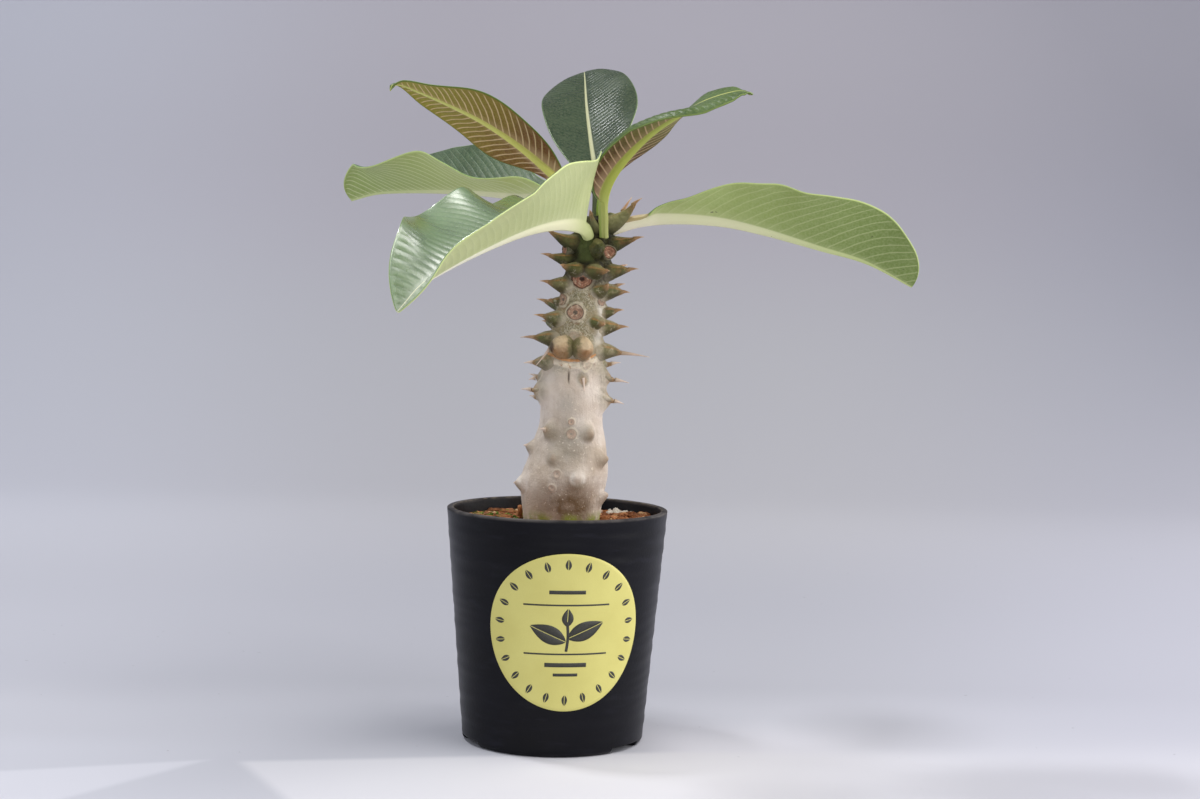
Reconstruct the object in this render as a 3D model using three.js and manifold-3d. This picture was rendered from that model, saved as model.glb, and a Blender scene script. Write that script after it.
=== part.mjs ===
// Potted pachypodium: a swollen, spiny stem with a tuft of long leaves, in a small nursery pot.
// Millimetres, +Z up. The origin is the centre of the pot's underside, and -Y is the front.
import * as THREE from 'three';
import { mergeVertices } from 'three/addons/utils/BufferGeometryUtils.js';
import Module from 'manifold-3d';

const wasm = await Module();
wasm.setup();

// Pot
const POT_HEIGHT = 96.3;
const RIM_RADIUS = 45.6;
const FOOT_RADIUS = 37.4;
const WALL = 2.7;
const FLOOR = 2.6;
const EDGE_ROUND = 2.4;
const BASE_RECESS = 1.3;
const CENTRE_PAD_RADIUS = 13;
const FOOT_RING_INNER = 31;
const POT_SIDES = 54;
const DRAIN_HOLES = 6;
const DRAIN_HOLE_RADIUS = 3.6;
const DRAIN_CIRCLE = 22;
const NOTCH_HEIGHT = 2.4;
const NOTCH_ANGLE = 28;
const NOTCH_CENTRES = [-157, -36, 84];

// Label on the front of the pot
const LABEL_RADIUS = 31.9;
const LABEL_CENTRE_Z = 51.3;
const LABEL_AZIMUTH = -83.6;
const LABEL_THICKNESS = 0.5;
const CLEARANCE = 0.3;

// Soil
const SOIL_LEVEL = 91.2;
const SOIL_RINGS = 5;
const SOIL_SIDES = 28;
const CHIP_COUNT = 34;
const PERLITE_COUNT = 9;

// Stem: height, sideways place and radius of the bark, from the root stub to the growing tip
const STEM = [
  [62, 1.4, 8], [76, 1.5, 13], [92, 1.6, 15.7], [100, 1.9, 17], [108, 2.4, 17.9], [114, 3.6, 17.5],
  [120, 4.5, 16], [126, 4.8, 14.2], [132, 5, 13], [139, 5, 12.6], [154, 4.8, 11.5], [163, 6, 10.5],
  [172, 7.2, 9.8], [185, 8.3, 9.2], [195, 10, 8.8], [204, 11.2, 8.2], [210, 12.2, 7.3], [214, 12.7, 5.8],
  [217, 13, 3.2],
];
const STEM_STEP = 6;
const STEM_SIDES = 16;

// Spines stand in pairs, one pair to each leaf scar, and the scars climb in one spiral
const SPIRAL_TURN = 137.7;
const SPIRAL_START = -9.4;
const SPIRAL_TOP = 213.8;
const SPIRAL_STEP = 2.44;
const SPIRAL_END = 137;
const PAIR_ANGLE = 31;
const PAIR_ROOT_ANGLE = 21;
const SPINE_REACH = 21.6;
const SPINE_RISE = 3.8;
const YOUNG_RISE = 8.4;
const SPINE_SEED = 315;
const SPINE_SIDES = 4;
const SPINE_PROFILE = [[0, 3.9], [0.38, 2.9], [0.72, 0.9], [1, 0.2]];
const LONG_SPINE = { scar: 24, side: 1, extra: 8 };

// Worn-down wart pairs on the old, swollen part of the stem
const WART_TOP = 130;
const WART_STEP = 4.6;
const WART_COUNT = 8;
const WART_PAIR_ANGLE = 40;
const WART_PROFILE = [[0, 4.8], [0.6, 3.4], [1, 0.6]];
const WART_HEIGHT = 3.3;

// Leaves. midrib: points from the stem to the tip. half: width each side of the midrib.
// roll turns the blade about its midrib, fold lifts each half from flat, and both are given in degrees
// at the blade's base, middle and tip. wave: height, number of waves and start of the edge's ripple.
const BLADE = 0.8;
const LEAVES = {
  leaf_a: {
    midrib: [[9.5, -1.5, 211], [4, -1.5, 224.5], [-10, -1, 238], [-22, -1, 247.3], [-35, -1, 255.3],
      [-49, -1, 261.8], [-60, -1.5, 266.2], [-67.5, -2, 268.7], [-70.5, -3, 268.4], [-71.5, -3.5, 266.2]],
    up: [0.5, -0.2, 1], petiole: 0.17, stalk: 1.7,
    left: { half: 16.5, fold: [23, 5, 5], wave: [0.9, 2.2, 0.05] },
    right: { half: 18.4, fold: [19, 5, 14], wave: [-1, 2.1, 0.46] },
    roll: [54, 40, 26], widest: 0.55, base: 0.95, tip: 0.72,
  },
  leaf_b: {
    midrib: [[13.4, 3.5, 211.5], [13.4, 12.5, 228], [12.2, 26.5, 239.6], [10.6, 43.3, 251.2],
      [8.8, 64.5, 266.9], [7.9, 88.9, 281.6], [7.6, 97.3, 285.8]],
    up: [0, -1, 1], petiole: 0.14, stalk: 1.9,
    left: { half: 20.2, fold: [18, 16, 2], wave: [0.3, 2.2, 0] },
    right: { half: 23.2, fold: [25, 22, 12], wave: [1.2, 2.2, 0.48] },
    roll: [-6, -5, -13], widest: 0.6, base: 0.8, tip: 0.54,
  },
  leaf_c: {
    midrib: [[14.8, -4.6, 210], [16.3, -8, 222], [18.5, -12, 231.3], [22.4, -18, 240.4],
      [28.6, -25, 248.6], [36.5, -31.5, 254.8], [47.3, -37, 259.2], [59.6, -41.5, 262.8],
      [68.8, -43.5, 263.5], [71.8, -43.8, 261.9]],
    up: [-1, 0.6, 0.8], petiole: 0.14, stalk: 1.8,
    left: { half: 16.5, fold: [21, 8, 46], wave: [2, 2.1, 0.09] },
    right: { half: 16.5, fold: [22, 2, 19], wave: [-1.3, 2.1, 0.8] },
    roll: [0, 0, 6], widest: 0.52, base: 0.62, tip: 0.72,
  },
  leaf_d: {
    midrib: [[18.5, 0, 213.2], [31, -4, 216.6], [46, -9, 217.5], [64, -13, 216.2], [81, -16, 212.6],
      [104, -18, 206.3], [123, -17, 201.1], [142, -15, 191.8]],
    up: [-0.2, 0, 1], petiole: 0.12, stalk: 2.7,
    left: { half: 24, fold: [10, 14, 16], wave: [1, 2.2, 0] },
    right: { half: 27, fold: [46, 56, 54], wave: [1.8, 2.4, 0.44] },
    roll: [6, 4, 8], widest: 0.62, base: 0.65, tip: 0.46,
  },
  leaf_e: {
    midrib: [[10.8, -3.5, 208.2], [8, -14, 212], [2, -29, 213], [-5.3, -46, 212],
      [-14.8, -63, 208.8], [-26.3, -79.5, 203.2], [-39.5, -95, 195.6], [-50.2, -108, 188],
      [-58, -119, 178.2]],
    up: [0.2, 0.3, 1], petiole: 0.09, stalk: 2.2,
    left: { half: 30.8, fold: [78, 50, 49], wave: [-1.9, 2.1, -0.07] },
    right: { half: 29.5, fold: [23, 26, 51], wave: [-4.4, 2.5, 0.63] },
    roll: [8, -6, -23], widest: 0.58, base: 0.1, tip: 0.66,
  },
  leaf_f: {
    midrib: [[8.5, 3, 211.5], [-2, 15, 224], [-20, 28.5, 226.2], [-38, 40.6, 227.8],
      [-56.4, 53.7, 228.5], [-74.3, 67.8, 228.4], [-85.5, 78.3, 227.6], [-96.8, 88.5, 224.8]],
    up: [0.3, -0.2, 1], petiole: 0.14, stalk: 2,
    left: { half: 25.5, fold: [44, 42, 46], wave: [4.2, 2.3, 0.09] },
    right: { half: 25.4, fold: [41, 44, 37], wave: [1.4, 2.1, 0.38] },
    roll: [-7, -12, -1], widest: 0.59, base: 0.85, tip: 0.46,
  },
  leaf_bud: {
    midrib: [[13.2, 0.6, 213.5], [13.8, -0.6, 219], [14.4, -2.2, 224], [14.8, -3.6, 229]],
    up: [-1, 0.3, 0.3], petiole: 0.2, stalk: 1,
    left: { half: 1.8, fold: [20, 20, 20], wave: [0, 1, 0] },
    right: { half: 1.8, fold: [20, 20, 20], wave: [0, 1, 0] },
    roll: [0, 0, 0], widest: 0.5, base: 0.8, tip: 0.9, stations: 6,
  },
};
const STALK_STATIONS = 4;
const BLADE_STATIONS = 15;
const SOCKET_REACH = 9;
const STALK_CHECK = 26;

const rad = THREE.MathUtils.degToRad;
const clamp = THREE.MathUtils.clamp;
const smooth = (x) => THREE.MathUtils.smoothstep(x, 0, 1);
const vec = (p) => new THREE.Vector3(...p);

// A repeatable value from -1 to 1 for a place in the spiral
function jitter(index, salt) {
  const x = Math.sin((index + 1) * 12.9898 + salt * 78.233 + SPINE_SEED * 3.717) * 43758.5453;
  return 2 * (x - Math.floor(x)) - 1;
}

// A smooth curve through evenly spaced values, read at u from 0 to 1
function along(values, u) {
  const last = values.length - 1;
  const x = clamp(u, 0, 1) * last;
  const i = Math.min(Math.floor(x), last - 1);
  const t = x - i;
  const b = values[i];
  const c = values[i + 1];
  const a = i > 0 ? values[i - 1] : 2 * b - c;
  const d = i + 2 <= last ? values[i + 2] : 2 * c - b;
  return 0.5 * (2 * b + (c - a) * t + (2 * a - 5 * b + 4 * c - d) * t * t + (3 * b - a - 3 * c + d) * t ** 3);
}

// Place and radius of the bark at a height, read from the table
function stemAt(z) {
  let i = 0;
  while (i < STEM.length - 2 && z > STEM[i + 1][0]) i += 1;
  const [z0, x0, r0] = STEM[i];
  const [z1, x1, r1] = STEM[i + 1];
  const t = clamp((z - z0) / (z1 - z0), 0, 1);
  return { x: x0 + (x1 - x0) * t, r: r0 + (r1 - r0) * t };
}

// Closed body through rings of equal length, with a fan over each end
function loft(rings) {
  const size = rings[0].length;
  const positions = rings.flat().flatMap((p) => [p.x, p.y, p.z]);
  const triangles = [];
  for (let i = 0; i < rings.length - 1; i += 1) {
    for (let j = 0; j < size; j += 1) {
      const a = i * size + j;
      const b = i * size + ((j + 1) % size);
      triangles.push(a, b, b + size, a, b + size, a + size);
    }
  }
  for (const [start, order] of [[0, 1], [(rings.length - 1) * size, 0]]) {
    const middle = positions.length / 3;
    const ring = rings[start / size];
    const centre = ring.reduce((sum, p) => sum.add(p), new THREE.Vector3()).divideScalar(size);
    positions.push(centre.x, centre.y, centre.z);
    for (let j = 0; j < size; j += 1) {
      const a = start + j;
      const b = start + ((j + 1) % size);
      triangles.push(...(order ? [middle, b, a] : [middle, a, b]));
    }
  }
  const geometry = new THREE.BufferGeometry();
  geometry.setAttribute('position', new THREE.Float32BufferAttribute(positions, 3));
  geometry.setIndex(triangles);
  return geometry;
}

function toSolid(geometry) {
  const bare = geometry.clone();
  bare.deleteAttribute('normal');
  bare.deleteAttribute('uv');
  const merged = mergeVertices(bare, 1e-4);
  const index = merged.index.array;
  const kept = [];
  for (let i = 0; i < index.length; i += 3) {
    const [a, b, c] = [index[i], index[i + 1], index[i + 2]];
    if (a !== b && b !== c && c !== a) kept.push(a, b, c);
  }
  return new wasm.Manifold(new wasm.Mesh({
    numProp: 3,
    vertProperties: new Float32Array(merged.attributes.position.array),
    triVerts: new Uint32Array(kept),
  }));
}

function toGeometry(solid) {
  const mesh = solid.getMesh();
  const geometry = new THREE.BufferGeometry();
  geometry.setAttribute('position', new THREE.Float32BufferAttribute(mesh.vertProperties, 3));
  geometry.setIndex(Array.from(mesh.triVerts));
  geometry.computeVertexNormals();
  return geometry;
}

function lathe(points, sides) {
  const geometry = new THREE.LatheGeometry(points.map(([r, z]) => new THREE.Vector2(r, z)), sides);
  geometry.rotateX(Math.PI / 2);
  return geometry;
}

// Pot
const wallRadius = (z) => FOOT_RADIUS + (RIM_RADIUS - FOOT_RADIUS) * z / POT_HEIGHT;

function makePot() {
  const edge = [15, 40, 65, 90].map((degrees) => [
    wallRadius(EDGE_ROUND) - EDGE_ROUND * (1 - Math.sin(rad(degrees))),
    EDGE_ROUND * (1 - Math.cos(rad(degrees))),
  ]);
  const profile = [
    [0, 0], [CENTRE_PAD_RADIUS, 0], [CENTRE_PAD_RADIUS + 1.5, BASE_RECESS],
    [FOOT_RING_INNER, BASE_RECESS], [FOOT_RING_INNER + 1.2, 0],
    [wallRadius(EDGE_ROUND) - EDGE_ROUND, 0], ...edge,
    [wallRadius(POT_HEIGHT - 0.6), POT_HEIGHT - 0.6], [RIM_RADIUS - 0.5, POT_HEIGHT],
    [RIM_RADIUS - WALL, POT_HEIGHT], [RIM_RADIUS - WALL - 0.3, POT_HEIGHT - 0.5],
    [wallRadius(FLOOR + 2) - WALL, FLOOR + 2], [wallRadius(FLOOR) - WALL - 2, FLOOR], [0, FLOOR],
  ];
  let pot = toSolid(lathe(profile, POT_SIDES));
  for (let i = 0; i < DRAIN_HOLES; i += 1) {
    const angle = rad((i + 0.5) * 360 / DRAIN_HOLES);
    const hole = new THREE.CylinderGeometry(DRAIN_HOLE_RADIUS, DRAIN_HOLE_RADIUS, FLOOR * 3, 16);
    hole.rotateX(Math.PI / 2);
    hole.translate(DRAIN_CIRCLE * Math.cos(angle), DRAIN_CIRCLE * Math.sin(angle), FLOOR / 2);
    pot = pot.subtract(toSolid(hole));
  }
  for (const centre of NOTCH_CENTRES) pot = pot.subtract(toSolid(notchCutter(centre)));
  return toGeometry(pot);
}

// A shallow scallop under the bottom edge, which lets water out on a flat bench
function notchCutter(centre) {
  const steps = 8;
  const outline = new THREE.Shape();
  const inner = FOOT_RING_INNER - 2;
  const outer = FOOT_RADIUS + 4;
  const at = (r, i) => {
    const angle = rad(centre + NOTCH_ANGLE * (i / steps - 0.5));
    return [r * Math.cos(angle), r * Math.sin(angle)];
  };
  outline.moveTo(...at(inner, 0));
  for (let i = 0; i <= steps; i += 1) outline.lineTo(...at(outer, i));
  for (let i = steps; i > 0; i -= 1) outline.lineTo(...at(inner, i));
  const cutter = new THREE.ExtrudeGeometry(outline, { depth: NOTCH_HEIGHT + 2, bevelEnabled: false });
  cutter.translate(0, 0, -2);
  return cutter;
}

// Label: a thin round sheet bent round the wall
function makeLabel() {
  const rings = 5;
  const sides = 30;
  const place = (x, z, lift) => {
    const r = wallRadius(z) + CLEARANCE + lift;
    const angle = rad(LABEL_AZIMUTH) + x / wallRadius(LABEL_CENTRE_Z);
    return [r * Math.cos(angle), r * Math.sin(angle), z];
  };
  const positions = [];
  const triangles = [];
  for (const lift of [0, LABEL_THICKNESS]) {
    positions.push(...place(0, LABEL_CENTRE_Z, lift));
    for (let i = 1; i <= rings; i += 1) {
      for (let j = 0; j < sides; j += 1) {
        const angle = 2 * Math.PI * j / sides;
        const radius = LABEL_RADIUS * i / rings;
        positions.push(...place(radius * Math.cos(angle), LABEL_CENTRE_Z + radius * Math.sin(angle), lift));
      }
    }
  }
  const sheet = 1 + rings * sides;
  const at = (side, ring, j) => side * sheet + (ring === 0 ? 0 : 1 + (ring - 1) * sides + (j % sides));
  const add = (flip, a, b, c) => triangles.push(...(flip ? [a, c, b] : [a, b, c]));
  for (let side = 0; side < 2; side += 1) {
    for (let j = 0; j < sides; j += 1) {
      add(side === 0, at(side, 0, 0), at(side, 1, j), at(side, 1, j + 1));
      for (let ring = 1; ring < rings; ring += 1) {
        add(side === 0, at(side, ring, j), at(side, ring + 1, j), at(side, ring + 1, j + 1));
        add(side === 0, at(side, ring, j), at(side, ring + 1, j + 1), at(side, ring, j + 1));
      }
    }
  }
  for (let j = 0; j < sides; j += 1) {
    add(false, at(0, rings, j), at(0, rings, j + 1), at(1, rings, j + 1));
    add(false, at(0, rings, j), at(1, rings, j + 1), at(1, rings, j));
  }
  const geometry = new THREE.BufferGeometry();
  geometry.setAttribute('position', new THREE.Float32BufferAttribute(positions, 3));
  geometry.setIndex(triangles);
  geometry.computeVertexNormals();
  return geometry;
}

// Soil: a plug that fills the pot, with a lumpy top, chips and white grains
function soilHeight(x, y) {
  const lumps = Math.sin(x * 0.31 + 1.3) * Math.cos(y * 0.27 - 0.4) + 0.6 * Math.sin(x * 0.13 - y * 0.19);
  const bank = smooth((x - 18) / 20);
  return SOIL_LEVEL + 0.55 * lumps + 1.1 * bank;
}

function makeSoil(rootHole) {
  const top = RIM_RADIUS - WALL - 0.9;
  const bottom = FLOOR + CLEARANCE;
  const wallGap = WALL + CLEARANCE + 0.1;
  const profile = [[0, bottom], [wallRadius(bottom) - wallGap - 2.2, bottom],
    [wallRadius(bottom + 3) - wallGap, bottom + 3], [wallRadius(SOIL_LEVEL) - wallGap, SOIL_LEVEL]];
  for (let i = SOIL_RINGS; i >= 0; i -= 1) profile.push([top * 0.93 * i / SOIL_RINGS, SOIL_LEVEL + 0.2]);
  const geometry = lathe(profile, SOIL_SIDES);
  const points = geometry.attributes.position;
  for (let i = 0; i < points.count; i += 1) {
    if (points.getZ(i) > SOIL_LEVEL - 0.01) points.setZ(i, soilHeight(points.getX(i), points.getY(i)));
  }
  let soil = toSolid(geometry);
  for (const grain of soilGrains()) soil = soil.add(toSolid(grain));
  return toGeometry(soil.subtract(rootHole));
}

// Chips of coir and bark, and rounder white grains, half sunk in the top
function soilGrains() {
  const grains = [];
  for (let i = 0; i < CHIP_COUNT + PERLITE_COUNT; i += 1) {
    const round = i >= CHIP_COUNT;
    const angle = rad(SPIRAL_TURN * i + 20 * jitter(i, 11));
    const radius = 21 + 17.5 * Math.sqrt((i % CHIP_COUNT + 0.5) / CHIP_COUNT) + 1.2 * jitter(i, 12);
    const size = 1.5 + 0.7 * jitter(i, 13);
    const grain = round
      ? new THREE.IcosahedronGeometry(1.1 + 0.5 * size, 0)
      : new THREE.BoxGeometry(2.6 * size, 1.3 * size, 1.1 * size);
    grain.rotateX(rad(25 * jitter(i, 14)));
    grain.rotateY(rad(25 * jitter(i, 15)));
    grain.rotateZ(rad(180 * jitter(i, 16)));
    const reach = Math.min(radius, 38.4);
    const x = reach * Math.cos(angle);
    const y = reach * Math.sin(angle);
    grain.translate(x, y, soilHeight(x, y) + 0.25 * size);
    grains.push(grain);
  }
  return grains;
}

// Stem: bark with a cushion under each spine pair, then spines, warts and sockets for the stalks
function scars() {
  const found = [];
  for (let i = 0; SPIRAL_TOP - SPIRAL_STEP * i > SPIRAL_END; i += 1) {
    found.push({ index: i, z: SPIRAL_TOP - SPIRAL_STEP * i,
      azimuth: SPIRAL_START + SPIRAL_TURN * i + 7 * jitter(i, 1) });
  }
  return found;
}

function barkRings(grow) {
  const rings = [];
  const low = STEM[0][0];
  const high = STEM[STEM.length - 1][0];
  const steps = Math.round((high - low) / STEM_STEP);
  for (let i = 0; i <= steps; i += 1) {
    const z = low + (high - low) * i / steps;
    const { x, r } = stemAt(z);
    const ring = [];
    for (let j = 0; j < STEM_SIDES; j += 1) {
      const angle = 2 * Math.PI * j / STEM_SIDES;
      const uneven = 1 + 0.02 * Math.sin(2 * angle + z * 0.05) + 0.015 * Math.sin(3 * angle - z * 0.08);
      const reach = r * uneven + grow;
      ring.push(new THREE.Vector3(x + reach * Math.cos(angle), reach * Math.sin(angle), z));
    }
    rings.push(ring);
  }
  rings[0].forEach((p) => { p.z -= grow; });
  return rings;
}

// A tapering spike from root to tip, its end bent up a little
function spike(root, tip, profile, lift) {
  const axis = tip.clone().sub(root);
  const side = new THREE.Vector3(0, 0, 1).cross(axis).normalize();
  const top = axis.clone().cross(side).normalize();
  const rings = profile.map(([t, radius]) => {
    const centre = root.clone().addScaledVector(axis, t);
    centre.z += lift * (t * t - t);
    const ring = [];
    for (let j = 0; j < SPINE_SIDES; j += 1) {
      const angle = 2 * Math.PI * j / SPINE_SIDES;
      ring.push(centre.clone().addScaledVector(side, radius * Math.cos(angle))
        .addScaledVector(top, radius * Math.sin(angle)));
    }
    return ring;
  });
  return loft(rings);
}

function onStem(z, azimuth, reach, rise) {
  const angle = rad(azimuth);
  return new THREE.Vector3(stemAt(z).x + reach * Math.cos(angle), reach * Math.sin(angle), z + rise);
}

// Whether a spine from root to tip would run into a leaf's stalk
function meetsStalk(root, tip, stalks) {
  return stalks.some(({ leaf, curve }) => {
    const reach = Math.min(STALK_CHECK, curve.getLength());
    for (let run = 0; run <= reach; run += 1) {
      const onStalk = curve.getPointAt(run / curve.getLength());
      for (let t = 0.35; t <= 1; t += 0.1) {
        const gap = onStalk.distanceTo(root.clone().lerp(tip, t));
        if (gap < leaf.stalk + 1.2 + 2.4 * (1 - t)) return true;
      }
    }
    return false;
  });
}

function spines(stalks) {
  const shapes = [];
  for (const { index, z, azimuth } of scars()) {
    const young = Math.exp(-index / 2.5);
    [-1, 1].forEach((side, k) => {
      let reach = (SPINE_REACH + 2.6 * jitter(index, 4 + k)) * (1 - 0.3 * young);
      if (index === LONG_SPINE.scar && side === LONG_SPINE.side) reach += LONG_SPINE.extra;
      const rise = SPINE_RISE + YOUNG_RISE * young + 1.6 * jitter(index, 6 + k);
      const root = onStem(z, azimuth + side * PAIR_ROOT_ANGLE, stemAt(z).r - 3, 0);
      const tip = onStem(z, azimuth + side * (PAIR_ANGLE + 4 * jitter(index, 2 + k)), reach, rise);
      if (!meetsStalk(root, tip, stalks)) shapes.push(spike(root, tip, SPINE_PROFILE, 2));
    });
  }
  return shapes;
}

function warts() {
  const shapes = [];
  for (let i = 0; i < WART_COUNT; i += 1) {
    const z = WART_TOP - WART_STEP * i;
    for (const side of [-1, 1]) {
      const azimuth = -90 + SPIRAL_TURN * i + side * WART_PAIR_ANGLE;
      const sunk = 2.6;
      const root = onStem(z, azimuth, stemAt(z).r - sunk, 0);
      const tip = onStem(z, azimuth, stemAt(z).r + WART_HEIGHT, 0.6);
      shapes.push(spike(root, tip, WART_PROFILE, 0));
    }
  }
  return shapes;
}

function makeTrunk(stalks) {
  let trunk = toSolid(loft(barkRings(0)));
  const growths = [...spines(stalks), ...warts()].map(toSolid);
  trunk = wasm.Manifold.union([trunk, ...growths]);
  for (const { socket } of stalks) trunk = trunk.subtract(toSolid(socket));
  return toGeometry(trunk);
}

// Leaf: sections across the midrib, from the stalk's foot to the tip
function bladeShape(leaf, u) {
  if (u <= 0 || u >= 1) return 0;
  return u < leaf.widest
    ? Math.sin(Math.PI / 2 * u / leaf.widest) ** leaf.base
    : Math.cos(Math.PI / 2 * (u - leaf.widest) / (1 - leaf.widest)) ** leaf.tip;
}

function leafSection(leaf, curve, s) {
  const u = (s - leaf.petiole) / (1 - leaf.petiole);
  const centre = curve.getPointAt(s);
  const forward = curve.getTangentAt(s);
  const level = vec(leaf.up).cross(forward).normalize();
  const upright = forward.clone().cross(level);
  const roll = rad(along(leaf.roll, u));
  const side = level.clone().multiplyScalar(Math.cos(roll)).addScaledVector(upright, Math.sin(roll));
  const top = upright.clone().multiplyScalar(Math.cos(roll)).addScaledVector(level, -Math.sin(roll));
  const rib = leaf.stalk * (1 - s) ** 0.8 + 0.35;
  const ribDepth = 1.15 * rib * (1 - 0.45 * s);
  const crown = 0.55 * rib * (1 - smooth(u / 0.15));
  const faces = { upper: [], lower: [] };
  for (const [sign, half] of [[1, leaf.left], [-1, leaf.right]]) {
    const width = Math.hypot(rib, half.half * bladeShape(leaf, u));
    const fold = rad(along(half.fold, u)) * smooth(u / 0.08 + 0.4);
    const [height, count, start] = half.wave;
    const ripple = height * Math.sin(2 * Math.PI * (count * u + start)) * smooth(u * 5) * smooth((1 - u) * 5);
    const ridge = Math.min(0.5, rib / width);
    const places = [0, 0.6 * ridge, ridge, ridge + (1 - ridge) / 3, ridge + (1 - ridge) / 1.5, 1];
    const run = { upper: [], lower: [] };
    for (const t of places) {
      const x = width * t;
      const out = x * Math.cos(fold) - ripple * t * t * Math.sin(fold);
      const lift = x * Math.sin(fold) + ripple * t * t * Math.cos(fold);
      const surface = centre.clone().addScaledVector(side, sign * out).addScaledVector(top, lift);
      const tilt = t === 0 ? 0 : fold;
      const normal = top.clone().multiplyScalar(Math.cos(tilt)).addScaledVector(side, -sign * Math.sin(tilt));
      run.upper.push(surface.clone().addScaledVector(top, crown * Math.sqrt(1 - t * t)));
      const depth = ribDepth * Math.sqrt(Math.max(0, 1 - (x / rib) ** 2));
      run.lower.push(surface.clone().addScaledVector(normal, -BLADE).addScaledVector(top, -depth));
    }
    for (const face of ['upper', 'lower']) {
      if (sign === 1) faces[face].push(...run[face].reverse());
      else faces[face].push(...run[face].slice(1));
    }
  }
  return [...faces.upper, ...faces.lower.reverse()];
}

function leafStations(leaf) {
  const stations = [];
  for (let i = 0; i < STALK_STATIONS; i += 1) stations.push(leaf.petiole * i / STALK_STATIONS);
  const steps = leaf.stations ?? BLADE_STATIONS;
  for (let i = 0; i <= steps; i += 1) {
    const u = 0.5 - 0.5 * Math.cos(Math.PI * (0.12 + 0.88 * i / steps));
    const first = 0.5 - 0.5 * Math.cos(Math.PI * 0.12);
    stations.push(leaf.petiole + (1 - leaf.petiole) * (u - first) / (1 - first));
  }
  return stations;
}

function makeLeaf(leaf) {
  const curve = new THREE.CatmullRomCurve3(leaf.midrib.map(vec), false, 'catmullrom', 0.5);
  const rings = leafStations(leaf).map((s) => leafSection(leaf, curve, s));
  const body = loft(rings);
  body.computeVertexNormals();
  const reach = leafStations(leaf).findIndex((s) => s * curve.getLength() > SOCKET_REACH);
  const socket = rings.slice(0, reach + 1).map((ring, i) => swollen(ring, curve.getTangentAt(0), i === 0));
  return { leaf, curve, body, socket: loft(socket) };
}

// A section moved outward by the clearance, for the hole that a stalk stands in
function swollen(ring, forward, foot) {
  const centre = ring.reduce((sum, p) => sum.add(p), new THREE.Vector3()).divideScalar(ring.length);
  return ring.map((p) => {
    const moved = p.clone().addScaledVector(p.clone().sub(centre).normalize(), CLEARANCE + 0.05);
    return foot ? moved.addScaledVector(forward, -CLEARANCE) : moved;
  });
}

function material(colour, roughness, metalness = 0) {
  return new THREE.MeshStandardMaterial({ color: colour, roughness, metalness });
}

const part = new THREE.Group();
function addPiece(name, geometry, look) {
  const mesh = new THREE.Mesh(geometry, look);
  mesh.name = name;
  part.add(mesh);
}

const potPlastic = material(0x24252a, 0.55);
const labelFilm = material(0xe3d86c, 0.4);
const soilMix = material(0x6b4026, 0.95);
const bark = material(0xb3a48f, 0.85);
const matureLeaf = material(0x6f9a4b, 0.45);
const youngLeaf = material(0x7d6a3e, 0.5);
const budLeaf = material(0x8fb040, 0.5);
const LEAF_LOOKS = { leaf_a: youngLeaf, leaf_c: youngLeaf, leaf_bud: budLeaf };

const leaves = Object.fromEntries(Object.entries(LEAVES).map(([name, leaf]) => [name, makeLeaf(leaf)]));
addPiece('pot', makePot(), potPlastic);
addPiece('label', makeLabel(), labelFilm);
addPiece('soil', makeSoil(toSolid(loft(barkRings(CLEARANCE)))), soilMix);
addPiece('trunk', makeTrunk(Object.values(leaves)), bark);
for (const [name, leaf] of Object.entries(leaves)) {
  addPiece(name, leaf.body, LEAF_LOOKS[name] ?? matureLeaf);
}

export default part;
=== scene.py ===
import math
import bpy
import numpy as np
from mathutils import Matrix


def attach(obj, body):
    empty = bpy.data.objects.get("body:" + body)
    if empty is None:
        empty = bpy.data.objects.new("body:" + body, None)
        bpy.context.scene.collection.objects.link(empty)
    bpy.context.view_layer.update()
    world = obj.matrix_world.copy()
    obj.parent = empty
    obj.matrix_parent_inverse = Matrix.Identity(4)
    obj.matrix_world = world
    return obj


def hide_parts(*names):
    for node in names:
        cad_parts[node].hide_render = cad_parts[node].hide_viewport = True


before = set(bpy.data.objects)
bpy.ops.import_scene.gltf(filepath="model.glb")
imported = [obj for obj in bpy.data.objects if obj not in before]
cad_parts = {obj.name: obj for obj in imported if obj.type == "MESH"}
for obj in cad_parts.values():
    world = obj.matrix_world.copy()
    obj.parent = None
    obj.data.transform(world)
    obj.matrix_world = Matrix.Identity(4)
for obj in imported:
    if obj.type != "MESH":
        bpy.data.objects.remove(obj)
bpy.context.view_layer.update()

# A potted pachypodium: a swollen spiny stem with a tuft of long leaves, in a small nursery pot.
# All sizes are in millimetres, and a piece turns them into metres only when its mesh is made.
MM = 0.001

# Pot. WAVES are the height and the length of the two faint waves in its wall.
POT_HEIGHT = 96.3
RIM_RADIUS = 45.6
FOOT_RADIUS = 37.4
WALL = 2.7
FLOOR = 2.6
EDGE_ROUND = 2.4
BASE_RECESS = 1.3
CENTRE_PAD_RADIUS = 13
FOOT_RING_INNER = 31
POT_COLUMNS = 216
POT_ROWS = 110
WAVES = ((0.09, 9.5), (0.05, 5.1))
WAVE_DRIFT = 5
OVALNESS = 0.12
DRAIN_HOLES = 6
DRAIN_HOLE_RADIUS = 3.6
DRAIN_CIRCLE = 22
NOTCH_HEIGHT = 2.4
NOTCH_ANGLE = 28
NOTCH_CENTRES = (-157, -36, 84)

# Label
LABEL_RADIUS = 31.9
LABEL_CENTRE_Z = 51.3
LABEL_AZIMUTH = -83.6
HOOP_RADIUS = 25.4
HOOP_LEAVES = 22
# Bars and lines of the print: height from the label's middle, half length and thickness
PRINT_BARS = ((16.4, 7, 1.5), (11.2, 17, 0.65), (-8.6, 17, 0.65), (-13, 8.5, 1.7), (-17, 5, 1.2))

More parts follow.
